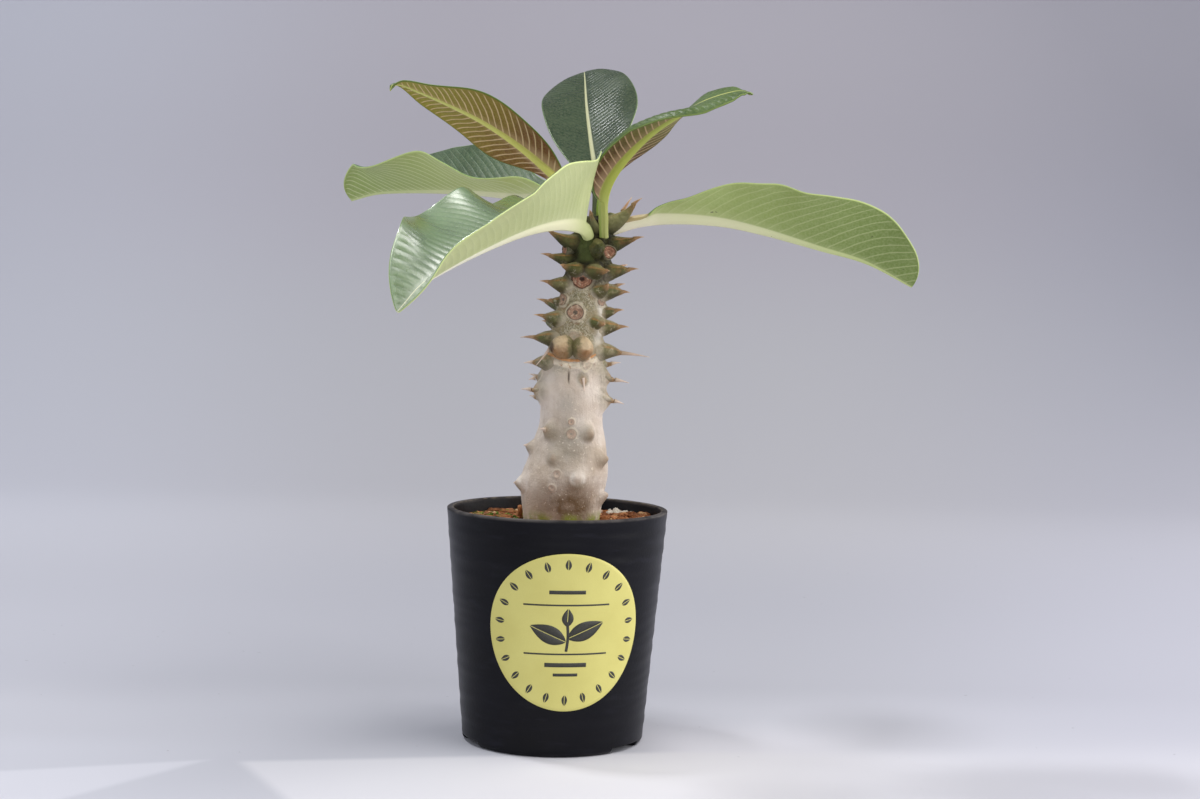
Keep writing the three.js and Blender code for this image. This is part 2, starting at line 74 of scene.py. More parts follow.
# Soil, the stem's sideways place where it leaves it, and how much lies on it
SOIL_LEVEL = 91.2
STEM_AT_SOIL = 1.6
CHIPS = 560
FIBRES = 260
WHITE_GRAINS = 16
MOSS_TUFTS = 240
GRAINS_AT = (27, 26)
MOSS_AT = (-37, 2)

# Stem: height, sideways place and radius of the bark
STEM = np.array([
    (86, 1.5, 15.4), (92, 1.6, 15.8), (97, 1.7, 16.4), (102, 1.7, 16.9), (107, 2.0, 17.7), (111, 2.8, 17.9),
    (114, 3.6, 17.1), (118, 4.1, 16.2), (123, 4.4, 15.3), (127, 4.8, 13.8), (131, 5, 13.1), (136, 5, 12.9),
    (141, 5, 12.8), (148, 4.8, 12.4), (154, 4.6, 11.6), (162, 5.8, 10.8), (172, 7.2, 10.1), (178, 7.7, 9.7),
    (185, 8.2, 9.4), (195, 10, 9.0), (204, 11.2, 8.4), (210, 12.2, 7.4), (214, 12.7, 5.8), (217, 13, 3.2),
])
STEM_ROWS = 350
STEM_COLUMNS = 230

# Horny cushions: above what height a sharp and a blunt one stand on the bark, and the radius of their ends
HORN_FROM = 140
BLUNT_HORN_FROM = 156
HORN_END = 0.85
BLUNT_HORN_END = 3.2
# How much of a cushion's height the bark itself rises under a horny one, and under a worn horny one, where
# the rise is also wider and the horny body slimmer and sunk
HORNED_RISE = 0.4
WORN_RISE = 0.8
WORN_SPREAD = 1.4
WORN_WIDTH = 0.7
WORN_SUNK = 1.8

# Spines seen from the front: height and direction of the base, its radius, then height, direction and reach
# of the tip, how much of the length is the soft cushion, and whether a needle stands on it
FRONT_SPINES = [
    (214.2, -20, 6.2, 224.6, -30, 21.4, 0.78, 1), (211.5, 16, 2.8, 225.6, 23, 16.5, 0.6, 1),
    (211.3, -84, 2.8, 219.4, -104, 10.5, 0.8, 1), (206.2, 0, 5.4, 209.1, -5, 21.3, 0.72, 1),
    (206, -150, 5.8, 211.7, -163, 22, 0.72, 1), (203.4, -74, 4.6, 205.4, -78, 11.4, 1, 0),
    (199.2, -158, 5, 201.1, -162, 21, 0.7, 1), (194.8, -14, 5.4, 195.9, -5, 21.2, 0.7, 1),
    (195.2, -122, 4.9, 196.7, -130, 17.8, 0.8, 1), (194.6, -72, 5.2, 194.7, -59, 17.5, 0.8, 1),
    (188.9, -148, 5.4, 190, -160, 19.7, 0.66, 1), (186.6, -18, 5.4, 186.1, -8, 19.5, 0.72, 1),
    (186.5, -47, 4.4, 189.2, -48, 15, 0.85, 1), (181.9, -168, 3, 182.2, -172, 14.6, 0.6, 1),
    (175, -154, 5.2, 176.1, -163, 20, 0.62, 1), (178, -8, 4, 178.9, -5, 17.8, 0.62, 1),
    (172, -13, 5, 171.9, -8, 20.8, 0.66, 1), (174, -48, 4.6, 172.8, -47, 15.2, 0.85, 1),
    (166.9, -163, 5.2, 166.7, -172, 23.6, 0.58, 1), (162.9, -114, 5.2, 163.6, -127, 17.4, 1, 0),
    (162.6, -76, 5.4, 162.6, -74, 17.4, 1, 0), (162.2, -13, 5.5, 159.7, -3, 30.9, 0.42, 1),
    (157, -157, 5.2, 156.2, -168, 20.7, 0.62, 1), (150.4, 168, 4.2, 149.1, 174, 18, 0.6, 1),
    (151.4, -18, 5.4, 148.8, -5, 23.8, 0.55, 1), (151, -68, 4.8, 149.4, -69, 13, 1, 0),
    (145.1, -156, 5.4, 145.4, -170, 21.4, 0.6, 1), (143.1, -24, 5.6, 140.1, -8, 21.7, 0.62, 1),
    (128.9, -124, 5.2, 129.8, -138, 17.6, 0.72, 1), (129, -62, 5, 128.4, -58, 17.2, 0.85, 0),
    (121.7, -170, 3.8, 122.1, -174, 19.2, 0.75, 1), (117.7, -38, 4.4, 118, -32, 19.3, 1, 0),
    (106.9, -164, 4.5, 106.5, -170, 20.9, 0.85, 1), (110.1, -72, 5.8, 110.4, -74, 19.3, 1, 0),
    (100.8, -22, 4.4, 102.6, -16, 19.9, 1, 0), (118.5, -112, 4.4, 118.5, -112, 17.4, 1, 0),
]
# Leaf scars seen from the front: height, direction, radius and freshness
FRONT_SCARS = [
    (191.2, -99, 3.9, 1.0), (182.8, -36, 2.6, 0.7), (182.6, -143, 2.6, 0.7),
    (177.5, -103, 3.3, 0.8), (167.6, -98, 2.4, 0.3), (156.6, -62, 2.2, 0.2), (132.9, -91, 1.4, 0.45),
    (128.1, -90, 2.1, 0.35), (112.0, -102, 1.7, 0.3), (106.2, -105, 1.5, 0.3),
]
# Fresh scars on the flanks of the topmost spines: place, the way each one faces, and radius
FLANK_SCARS = [((18.6, -8.8, 202.4), (0.35, -1, 0.05), 2.6), ((0.8, -5.6, 202.8), (-0.95, -0.5, 0), 2.0)]
# Green foot of the front leaf's stalk, which runs down into the bark: sideways place, half width, lowest
# and highest
STALK_FOOT = (9.3, 3.0, 197, 210)
# Two crumbly lips under the blunt pair: height at the middle and half thickness
LIPS = [(158.0, 0.6), (155.8, 1.2)]
LIP_MIDDLE = 4.8
LIP_RISE = 0.03
# Slit in the bark between worn spines, with painted shade inside it: height, direction, reach, half width
# and half height
SLIT = (151.2, -97, 11.8, 0.35, 2.4)
# Needles, and the dead pale ones that hang from worn spines: radius at the root, and four times how far the
# middle hangs below a straight line
NEEDLE_RADIUS = 0.9
NEEDLE_SAG = -0.8
HANGING_RADIUS = 0.55
HANGING_SAG = 0.6
# Root and tip of each hanging needle, as height, direction and reach
HANGING_NEEDLES = [((162.6, -131, 16.2), (155.0, -153, 17.2)), ((151.0, -69, 12.6), (145.4, -68, 13.6))]

# At the back the spines stand in pairs beside leaf scars that climb the stem in one spiral
SPIRAL_TURN = 137.7
SPIRAL_START = -9.4
SPIRAL_TOP = 213.8
SPIRAL_STEP = 2.44
SPIRAL_END = 137
PAIR_ANGLE = 31
PAIR_ROOT_ANGLE = 21
SPINE_REACH = 21.6
SPINE_RISE = 2.4
YOUNG_RISE = 8.4
SPINE_SEED = 315
BACK_FROM = 28
BACK_TO = 152

# Worn warts on the back of the swollen part
WART_TOP = 130
WART_STEP = 4.6
WART_COUNT = 8
WART_PAIR_ANGLE = 40

# Leaves: midrib points, the way the upper face looks, the share that is bare stalk and its radius, how the
# leaf rolls, where it is widest and how full its base and tip are. slim is how fast the midrib thins, neck
# how thin it starts, veins the number of side veins, lean their slant, relief how far the blade swells
# between them, crimp the height of its small creases.
# Each half has its width, how it folds up from the midrib and curls back at its edge, and the height, count
# and start of its waves. ramp is how slowly it widens, flare how much it swells beside the stalk, and open
# how much of its fold is there from the start.
BLADE = 0.8
LEAF_STATIONS = 250
BUD_STATIONS = 60
LEAVES = {
    "leaf_a": dict(
        midrib=[(9.5, -1.5, 211), (4, -1.5, 224.5), (-10, -1, 238), (-22, -1, 247.3), (-35, -1, 255.3),
                (-49, -1, 261.8), (-60, -1.5, 266.2), (-67.5, -2, 268.9), (-70.8, -3, 268.6),
                (-72.3, -3.5, 266.0)],
        up=(0.5, -0.2, 1), petiole=0.17, stalk=1.7, roll=(54, 40, 26), widest=0.55, base=0.95, tip=1.1,
        slim=0.9, veins=27, lean=0.5, relief=0.16,
        left=dict(half=16.8, fold=(23, 5, 5), curl=(0, 0, 0), wave=(0.9, 2.2, 0.05)),
        right=dict(half=18.4, fold=(19, 5, 14), curl=(30, 35, 30), wave=(-1, 2.1, 0.46))),
    "leaf_b": dict(
        midrib=[(13.4, 3.5, 211.5), (13.4, 12.5, 228), (12.2, 26.5, 239.6), (10.6, 43.3, 251.2),
                (8.8, 64.5, 266.9), (7.9, 88.9, 281.6), (7.6, 97.3, 285.8)],
        up=(0, -1, 1), petiole=0.14, stalk=1.9, roll=(-6, -5, -13), widest=0.6, base=0.8, tip=0.54,
        slim=0.9, veins=40, lean=0.3, relief=0.08,
        left=dict(half=20.2, fold=(18, 16, 2), curl=(0, 0, 0), wave=(0.3, 2.2, 0)),
        right=dict(half=23.2, fold=(25, 22, 12), curl=(0, 12, 12), wave=(1.2, 2.2, 0.48))),
    "leaf_c": dict(
        midrib=[(15.8, -7.4, 208.5), (15.4, -9.4, 214.4), (15.2, -11, 222.4), (17.8, -14, 231.4),
                (24.2, -20.5, 240.8), (33.6, -29, 250), (43.9, -36.5, 256.7), (54.4, -41, 262.2),
                (64.3, -43.2, 265.4), (69.2, -43.8, 265.7), (72.4, -44, 264.8)],
        up=(-1, 0.6, 0.8), petiole=0.15, stalk=1.7, roll=(0, 0, 6), widest=0.46, base=0.55, tip=0.6,
        slim=0.8, veins=26, lean=0.5, relief=0.12, crimp=0.2, neck=0.85,
        left=dict(half=14, fold=(16, 4, 0, 12, 40, 40), curl=(0, 0, 0), wave=(0.5, 2.1, 0.09), ramp=0.35),
        right=dict(half=16.5, fold=(48, 33, 21, 5, -36, -52), curl=(74, 74, 66, 40, 0),
                   wave=(-0.3, 2.1, 0.8))),
    "leaf_d": dict(
        midrib=[(18.5, 0, 213.2), (31, -4, 216.6), (46, -9, 217.5), (64, -13, 216.2), (81, -16, 212.6),
                (104, -18, 206.3), (123, -17, 201.1), (142, -15, 191.8)],
        up=(-0.2, 0, 1), petiole=0.13, stalk=2.7, roll=(6, 4, 8), widest=0.62, base=0.7, tip=0.46,
        slim=1.15, veins=22, lean=0.85, relief=0.14, crimp=0.9,
        left=dict(half=24, fold=(10, 14, 16), curl=(0, 0, 0), wave=(1, 2.2, 0)),
        right=dict(half=27, fold=(46, 56, 54), curl=(14, 8, 0), wave=(1.8, 2.4, 0.44))),
    "leaf_e": dict(
        midrib=[(10.8, -3.5, 208.2), (8, -14, 212), (2, -29, 213), (-5.3, -46, 212), (-14.8, -63, 208.8),
                (-26.3, -79.5, 203.2), (-39.5, -95, 195.6), (-50.2, -108, 188), (-58, -119, 178.2)],
        up=(0.2, 0.3, 1), petiole=0.09, stalk=2.2, roll=(8, -6, -23), widest=0.58, base=0.1, tip=0.66,
        slim=0.95, veins=33, lean=0.5, relief=0.13, crimp=0.3,
        left=dict(half=30.8, fold=(73, 50, 49), curl=(0, 0, 0), wave=(-1.9, 2.1, -0.07), ramp=0.08,
                  flare=0.17, open=0.8),
        right=dict(half=29.5, fold=(23, 26, 51), curl=(0, 0, 0), wave=(-4.4, 2.5, 0.63), ramp=0.05)),
    "leaf_f": dict(
        midrib=[(8.5, 3, 211.5), (-2, 15, 224), (-20, 28.5, 226.2), (-38, 40.6, 227.8),
                (-56.4, 53.7, 228.5), (-74.3, 67.8, 228.4), (-85.5, 78.3, 227.6), (-96.8, 88.5, 224.8)],
        up=(0.3, -0.2, 1), petiole=0.14, stalk=2, roll=(-7, -12, -1), widest=0.59, base=0.85, tip=0.46,
        slim=1.0, veins=28, lean=0.95, relief=0.1, crimp=0.5,
        left=dict(half=25.5, fold=(44, 42, 46), curl=(0, 8, 45), wave=(4.2, 2.3, 0.09)),
        right=dict(half=25.4, fold=(41, 44, 37), curl=(0, 0, 0), wave=(1.4, 2.1, 0.38))),
    "leaf_bud": dict(
        midrib=[(13.2, 0.6, 213.5), (13.8, -0.6, 219), (14.4, -2.2, 224), (14.8, -3.6, 229)],
        up=(-1, 0.3, 0.3), petiole=0.2, stalk=1, roll=(0, 0, 0), widest=0.5, base=0.8, tip=0.9,
        slim=0.8, veins=8, lean=0.5, relief=0.0,
        left=dict(half=1.8, fold=(20, 20, 20), curl=(0, 0, 0), wave=(0, 1, 0)),
        right=dict(half=1.8, fold=(20, 20, 20), curl=(0, 0, 0), wave=(0, 1, 0))),
}

# Camera: 60 mm lens on a 36 mm sensor
CAMERA_PLACE = (0, -825.8, 191.4)
CAMERA_PITCH = 3.448
CAMERA_YAW = 1.147
CAMERA_ROLL = 1.406
CAMERA_LENS = 60

# Stage in metres: where the floor starts to curve up, how roundly, and half its width
SWEEP_START = 0.9
SWEEP_RADIUS = 0.9
SWEEP_HALF_WIDTH = 3.5


# Numbers and shapes

def smooth(x):
    """A soft step from 0 to 1 as x goes from 0 to 1."""
    x = np.clip(x, 0, 1)
    return x * x * (3 - 2 * x)


def jitter(index, salt):
    """A repeatable value from -1 to 1, the same as in the solids."""
    x = math.sin((index + 1) * 12.9898 + salt * 78.233 + SPINE_SEED * 3.717) * 43758.5453
    return 2 * (x - math.floor(x)) - 1


def along(values, u):
    """A smooth curve through evenly spaced values, read at u from 0 to 1."""
    values = np.asarray(values, float)
    last = len(values) - 1
    x = np.clip(u, 0, 1) * last
    i = np.minimum(np.floor(x).astype(int), last - 1)
    t = x - i
    b = values[i]
    c = values[i + 1]
    a = np.where(i > 0, values[np.maximum(i - 1, 0)], 2 * b - c)
    d = np.where(i + 2 <= last, values[np.minimum(i + 2, last)], 2 * c - b)
    return 0.5 * (2 * b + (c - a) * t + (2 * a - 5 * b + 4 * c - d) * t**2 + (3 * b - a - 3 * c + d) * t**3)


def lumps(points, cell, seed):
    """An uneven value from -1 to 1 at each point, in soft lumps about one cell wide."""
    place = np.asarray(points, float) / cell
    low = np.floor(place).astype(np.int64)
    part = smooth(place - low)
    total = 0
    for corner in np.ndindex(2, 2, 2):
        cell_at = low + np.array(corner)
        mixed = cell_at[..., 0] * 73856093 ^ cell_at[..., 1] * 19349663 ^ cell_at[..., 2] * 83492791
        mixed = (mixed ^ seed * 2654435761) & 0xFFFFFFFF
        mixed = ((mixed ^ mixed >> 13) * 1274126177) & 0xFFFFFFFF
        mixed = ((mixed ^ mixed >> 16) * 2246822519) & 0xFFFFFFFF
        weight = np.prod(np.where(np.array(corner) == 1, part, 1 - part), axis=-1)
        total = total + weight * (mixed / 0x7FFFFFFF - 1)
    return total


def unit(vectors):
    """The same headings with length 1."""
    return vectors / np.linalg.norm(vectors, axis=-1, keepdims=True)


def sheet_faces(rows, columns, closed):
    """Quads of a grid of points. closed joins the last column to the first."""
    i = np.arange(rows - 1)[:, None]
    j = np.arange(columns if closed else columns - 1)[None, :]
    after = (j + 1) % columns
    row = i * columns
    next_row = row + columns
    return np.stack([row + j, row + after, next_row + after, next_row + j], -1).reshape(-1, 4)


def tube(rings):
    """Points and faces of a closed body through rings of equal length."""
    rings = np.asarray(rings, float)
    rows, columns = rings.shape[:2]
    points = np.concatenate([rings.reshape(-1, 3), rings[0].mean(0)[None], rings[-1].mean(0)[None]])
    faces = sheet_faces(rows, columns, True).tolist()
    first = rows * columns
    for j in range(columns):
        after = (j + 1) % columns
        faces.append([first, after, j])
        faces.append([first + 1, (rows - 1) * columns + j, (rows - 1) * columns + after])
    return points, faces


def join(shapes):
    """One set of points and faces from several, with the number of points in each."""
    points = []
    faces = []
    count = 0
    for shape_points, shape_faces in shapes:
        points.append(shape_points)
        faces += [[count + k for k in face] for face in shape_faces]
        count += len(shape_points)
    return np.concatenate(points), faces


def add_piece(name, points, faces, materials, values=None, nodes=(), slot=None, which=None):
    """A smooth piece drawn in millimetres, with its values for each point, riding on the one body."""
    mesh = bpy.data.meshes.new(name)
    mesh.from_pydata((np.asarray(points, float) * MM).tolist(), [], [list(map(int, f)) for f in faces])
    mesh.polygons.foreach_set("use_smooth", [True] * len(mesh.polygons))
    for key, amounts in (values or {}).items():
        layer = mesh.attributes.new(key, "FLOAT", "POINT")
        layer.data.foreach_set("value", np.asarray(amounts, np.float32).ravel())
    for item in materials:
        mesh.materials.append(item)
    if which is not None:
        mesh.polygons.foreach_set("material_index", np.asarray(which, np.int32))
    mesh.update()
    mesh.validate()
    piece = bpy.data.objects.new(name, mesh)
    bpy.context.scene.collection.objects.link(piece)
    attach(piece, "root")
    if nodes:
        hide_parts(*nodes)
    return piece


# Materials: a small kit for wiring nodes, then the shared effects, then each finish

class Wires:
    """Adds nodes to a tree. A value or colour is either a number or a socket."""

    def __init__(self, tree):
        self.tree = tree

    def node(self, kind, **settings):
        made = self.tree.nodes.new(kind)
        for key, value in settings.items():
            setattr(made, key, value)
        return made

    def feed(self, socket, value):
        if isinstance(value, bpy.types.NodeSocket):
            self.tree.links.new(value, socket)
        elif value is not None:
            socket.default_value = value

    def math(self, what, a, b=None, c=None, clamp=False):
        made = self.node("ShaderNodeMath", operation=what, use_clamp=clamp)
        for socket, value in zip(made.inputs, (a, b, c)):
            self.feed(socket, value)
        return made.outputs[0]

    def times(self, a, b):
        return self.math("MULTIPLY", a, b)

    def plus(self, a, b, clamp=False):
        return self.math("ADD", a, b, clamp=clamp)

    def less(self, a, b):
        return self.math("SUBTRACT", a, b)

    def mix(self, amount, a, b):
        """Colour a, turning to colour b where amount is 1."""
        made = self.node("ShaderNodeMix", data_type="RGBA")
        self.feed(made.inputs[0], amount)
        self.feed(made.inputs[6], paint(a))
        self.feed(made.inputs[7], paint(b))
        return made.outputs[2]

    def step(self, value, low, high, out_low=0.0, out_high=1.0):
        """A smooth step from out_low to out_high as value goes from low to high."""
        made = self.node("ShaderNodeMapRange", interpolation_type="SMOOTHSTEP")
        for socket, number in zip(made.inputs, (value, low, high, out_low, out_high)):
            self.feed(socket, number)
        return made.outputs[0]

    def noise(self, where, scale, detail=3.0, rough=0.55, stretch=(1, 1, 1)):
        scaled = self.node("ShaderNodeVectorMath", operation="MULTIPLY")
        self.feed(scaled.inputs[0], where)
        scaled.inputs[1].default_value = stretch
        made = self.node("ShaderNodeTexNoise")
        self.feed(made.inputs["Vector"], scaled.outputs[0])
        made.inputs["Scale"].default_value = scale
        made.inputs["Detail"].default_value = detail
        made.inputs["Roughness"].default_value = rough
        return made.outputs["Fac"]

    def blotches(self, noise, low, high, out_low=0.0, out_high=1.0):
        """Blotches where a noise of the given scale, detail and roughness goes from low to high."""
        return self.step(self.noise(self.place(), *noise), low, high, out_low, out_high)

    def cracks(self, where, scale, stretch=(1, 1, 1)):
        scaled = self.node("ShaderNodeVectorMath", operation="MULTIPLY")
        self.feed(scaled.inputs[0], where)
        scaled.inputs[1].default_value = stretch
        made = self.node("ShaderNodeTexVoronoi", feature="DISTANCE_TO_EDGE")
        self.feed(made.inputs["Vector"], scaled.outputs[0])
        made.inputs["Scale"].default_value = scale
        return made.outputs["Distance"]

    def warped(self, where, scale, reach):
        """The same place pushed about by a soft noise, so that a pattern drawn with it is uneven."""
        noise = self.node("ShaderNodeTexNoise")
        self.feed(noise.inputs["Vector"], where)
        noise.inputs["Scale"].default_value = scale
        centred = self.node("ShaderNodeVectorMath", operation="SUBTRACT")
        self.feed(centred.inputs[0], noise.outputs["Color"])
        centred.inputs[1].default_value = (0.5, 0.5, 0.5)
        pushed = self.node("ShaderNodeVectorMath", operation="SCALE")
        self.feed(pushed.inputs[0], centred.outputs[0])
        pushed.inputs["Scale"].default_value = reach
        moved = self.node("ShaderNodeVectorMath", operation="ADD")
        self.feed(moved.inputs[0], where)
        self.feed(moved.inputs[1], pushed.outputs[0])
        return moved.outputs[0]

    def place(self):
        return self.node("ShaderNodeTexCoord").outputs["Object"]

    def height(self):
        split = self.node("ShaderNodeSeparateXYZ")
        self.feed(split.inputs[0], self.place())
        return self.times(split.outputs[2], 1 / MM)

    def value_of(self, name):
        return self.node("ShaderNodeAttribute", attribute_name=name).outputs["Fac"]

    def effect(self, group, **values):
        made = self.node("ShaderNodeGroup", node_tree=group)
        for key, value in values.items():
            self.feed(made.inputs[key], value)
        return made.outputs

    def mottle(self, patch_size, speck_size):
        return self.effect(MOTTLE, **{"Patch Size": patch_size, "Speck Size": speck_size})

    def bump(self, height, strength, distance):
        made = self.node("ShaderNodeBump")
        made.inputs["Strength"].default_value = strength
        made.inputs["Distance"].default_value = distance
        self.feed(made.inputs["Height"], height)
        return made.outputs[0]


def paint(value):
    """Screen colour in 0 to 255 as Blender's linear colour. A socket passes through."""
    if isinstance(value, bpy.types.NodeSocket):
        return value
    linear = [(c / 255 / 12.92) if c <= 10 else ((c / 255 + 0.055) / 1.055) ** 2.4 for c in value]
    return (*linear, 1.0)


def new_finish(name, roughness=0.5, **settings):
    """A material with its wires and its shader, with the values that are the same all over."""
    finish = bpy.data.materials.new(name)
    finish.use_nodes = True
    wires = Wires(finish.node_tree)
    shader = next(n for n in finish.node_tree.nodes if n.type == "BSDF_PRINCIPLED")
    shader.inputs["Roughness"].default_value = roughness
    for key, value in settings.items():
        shader.inputs[key.replace("_", " ")].default_value = value
    return finish, wires, shader


def new_effect(name, inputs, outputs):
    """A shared shader group with its wires, inputs and outputs."""
    group = bpy.data.node_groups.new(name, "ShaderNodeTree")
    for label, default in inputs.items():
        socket = group.interface.new_socket(name=label, in_out="INPUT", socket_type="NodeSocketFloat")
        socket.default_value = default
    for label in outputs:
        group.interface.new_socket(name=label, in_out="OUTPUT", socket_type="NodeSocketFloat")
    wires = Wires(group)
    return group, wires, wires.node("NodeGroupInput"), wires.node("NodeGroupOutput")


def mottle_effect():
    """Cloudy patches and fine specks, both from 0 to 1."""
    sizes = {"Patch Size": 0.02, "Speck Size": 0.001}
    group, w, given, result = new_effect("mottle", sizes, ["Patches", "Specks"])
    for out, size, detail in (("Patches", "Patch Size", 4), ("Specks", "Speck Size", 2)):
        made = w.node("ShaderNodeTexNoise")
        made.inputs["Detail"].default_value = detail
        w.feed(made.inputs["Vector"], w.place())
        w.feed(made.inputs["Scale"], w.math("DIVIDE", 1.0, given.outputs[size]))
        w.feed(result.inputs[out], w.step(made.outputs["Fac"], 0.3, 0.7))
    return group


def vein_effect():
    """A leaf's side veins, 1 on a vein. Fade is 1 on the blade, and 0 on the midrib and the edge."""
    group, w, given, result = new_effect("side_veins", {"Width": 0.16}, ["Vein", "Fade"])
    run = w.value_of("vein_run")
    waver = w.times(w.less(w.noise(w.place(), 160, 2), 0.5), 0.28)
    run = w.plus(run, waver)
    away = w.math("ABSOLUTE", w.less(w.math("FRACT", run), 0.5))
    near = w.less(0.5, away)
    line = w.step(near, 0.0, given.outputs["Width"], 1.0, 0.0)
    off_rib = w.step(w.value_of("rib_share"), 0.9, 1.6)
    off_edge = w.step(w.value_of("edge_mm"), 0.3, 2.2)
    fade = w.times(off_rib, off_edge)
    w.feed(result.inputs["Vein"], w.times(line, fade))
    w.feed(result.inputs["Fade"], fade)
    return group


MOTTLE = mottle_effect()
VEINS = vein_effect()


def leaf_finish(name, upper, blade, shade, vein, rib, rib_foot, edge, roughness, vein_strength,
                tip_blade=None, tip_rib=None, vein_width=0.16, spots=0.0, foot=(0.02, 0.28), **settings):
    """One face of a leaf: blade in two tones, side veins, midrib that changes at its foot, thin edge."""
    finish, w, shader = new_finish(name, roughness, **settings)
    place = w.place()
    mottle = w.mottle(0.011, 0.0009)
    veins = w.effect(VEINS, Width=vein_width)
    blade_run = w.value_of("blade_run")
    colour = w.mix(mottle["Patches"], blade, shade)
    if tip_blade:
        colour = w.mix(w.step(blade_run, 0.1, 0.9), colour, tip_blade)
    colour = w.mix(w.times(mottle["Specks"], 0.1), colour, rib)
    colour = w.mix(w.times(veins["Vein"], vein_strength), colour, vein)
    if not upper:
        beside_rib = w.step(w.value_of("rib_share"), 1.2, 4.5, 0.5, 0.0)
        colour = w.mix(w.times(beside_rib, w.step(blade_run, 0.0, 0.5, 1.0, 0.4)), colour, vein)
    rib_colour = w.mix(w.step(w.value_of("stalk_run"), *foot), rib_foot, rib)
    rib_colour = w.mix(w.step(w.value_of("stalk_run"), 0.35, 0.85), rib_colour, tip_rib or rib)
    on_rib = w.step(w.value_of("rib_share"), *((0.4, 0.8, 1.0, 0.0) if upper else (0.85, 1.5, 1.0, 0.0)))
    on_rib = w.math("MAXIMUM", on_rib, w.step(blade_run, 0.004, 0.02, 1.0, 0.0))
    colour = w.mix(on_rib, colour, rib_colour)
    on_edge = w.step(w.value_of("edge_mm"), 0.2, 0.6, 1.0, 0.0)
    colour = w.mix(w.times(on_edge, w.less(1.0, on_rib)), colour, edge)
    if spots:
        freckle = w.blotches((330, 2), 0.735, 0.76)
        colour = w.mix(w.times(freckle, spots), colour, (62, 58, 34))
    w.feed(shader.inputs["Base Color"], colour)
    vein_height = w.times(veins["Vein"], -0.6 if upper else 0.5)
    grain = w.plus(w.times(w.noise(place, 1500, 2), 0.35), vein_height)
    net = w.cracks(place, 700)
    grain = w.plus(grain, w.times(w.step(net, 0.0, 0.12, -0.2, 0.0), 1.0 if upper else -1.0))
    w.feed(shader.inputs["Normal"], w.bump(grain, 0.3, 0.0003))
    sheen = w.plus(roughness - 0.05, w.times(mottle["Patches"], 0.1))
    w.feed(shader.inputs["Roughness"], w.plus(sheen, w.times(on_rib, 0.1)))
    return finish


def pot_finish():
    """Satin black plastic with scuffs, a worn rim, dust inside and at the foot, and a crusted lip."""
    finish, w, shader = new_finish("black_pot_plastic", 0.34, Specular_IOR_Level=0.16)
    mottle = w.mottle(0.03, 0.0012)
    place = w.place()
    scuffs = w.step(w.noise(place, 55, 4, 0.6, (1, 1, 5)), 0.52, 0.75)
    colour = w.mix(mottle["Patches"], (9, 9, 14), (13, 13, 20))
    colour = w.mix(w.times(scuffs, 0.22), colour, (45, 45, 56))
    rim = w.step(w.height(), POT_HEIGHT - 1.4, POT_HEIGHT - 0.3)
    colour = w.mix(w.times(rim, w.blotches((120, 4), 0.3, 0.62, 0.2, 0.75)), colour, (92, 87, 84))
    inside = w.step(w.value_of("inside"), 0.3, 0.7)
    dust = w.blotches((90, 5, 0.65), 0.42, 0.66)
    colour = w.mix(w.times(inside, w.times(dust, 0.3)), colour, (70, 62, 54))
    lip = w.step(w.value_of("inner_lip"), 0.25, 0.8)
    crust = w.blotches((260, 4, 0.6), 0.4, 0.6)
    colour = w.mix(w.times(lip, crust), colour, (112, 102, 88))
    foot_dust = w.times(w.step(w.height(), 0.2, 2.0, 1.0, 0.0), w.times(dust, 0.25))
    colour = w.mix(foot_dust, colour, (66, 64, 66))
    w.feed(shader.inputs["Base Color"], colour)
    worn = w.times(w.plus(rim, w.times(inside, dust)), 0.22)
    base = w.blotches((30, 3), 0.3, 0.7, 0.32, 0.4)
    w.feed(shader.inputs["Roughness"], w.plus(base, worn, clamp=True))
    texture = w.plus(w.times(mottle["Specks"], 0.5), w.noise(place, 900, 2))
    w.feed(shader.inputs["Normal"], w.bump(texture, 0.12, 0.0002))
    return finish


def label_finish():
    """Pale yellow film, very slightly mottled."""
    finish, w, shader = new_finish("yellow_label_film", 0.42, Specular_IOR_Level=0.35)
    mottle = w.mottle(0.02, 0.0005)
    colour = w.mix(mottle["Patches"], (219, 211, 126), (212, 203, 118))
    colour = w.mix(w.times(mottle["Specks"], 0.12), colour, (198, 188, 108))
    w.feed(shader.inputs["Base Color"], colour)
    w.feed(shader.inputs["Roughness"], w.step(mottle["Patches"], 0.0, 1.0, 0.38, 0.48))
    w.feed(shader.inputs["Normal"], w.bump(mottle["Specks"], 0.08, 0.0001))
    return finish


def ink_finish():
    """Dark print on the label."""
    finish, w, shader = new_finish("label_ink", 0.5)
    mottle = w.mottle(0.006, 0.0004)
    w.feed(shader.inputs["Base Color"], w.mix(mottle["Specks"], (44, 44, 40), (58, 57, 48)))
    w.feed(shader.inputs["Roughness"], w.step(mottle["Patches"], 0.0, 1.0, 0.42, 0.56))
    return finish


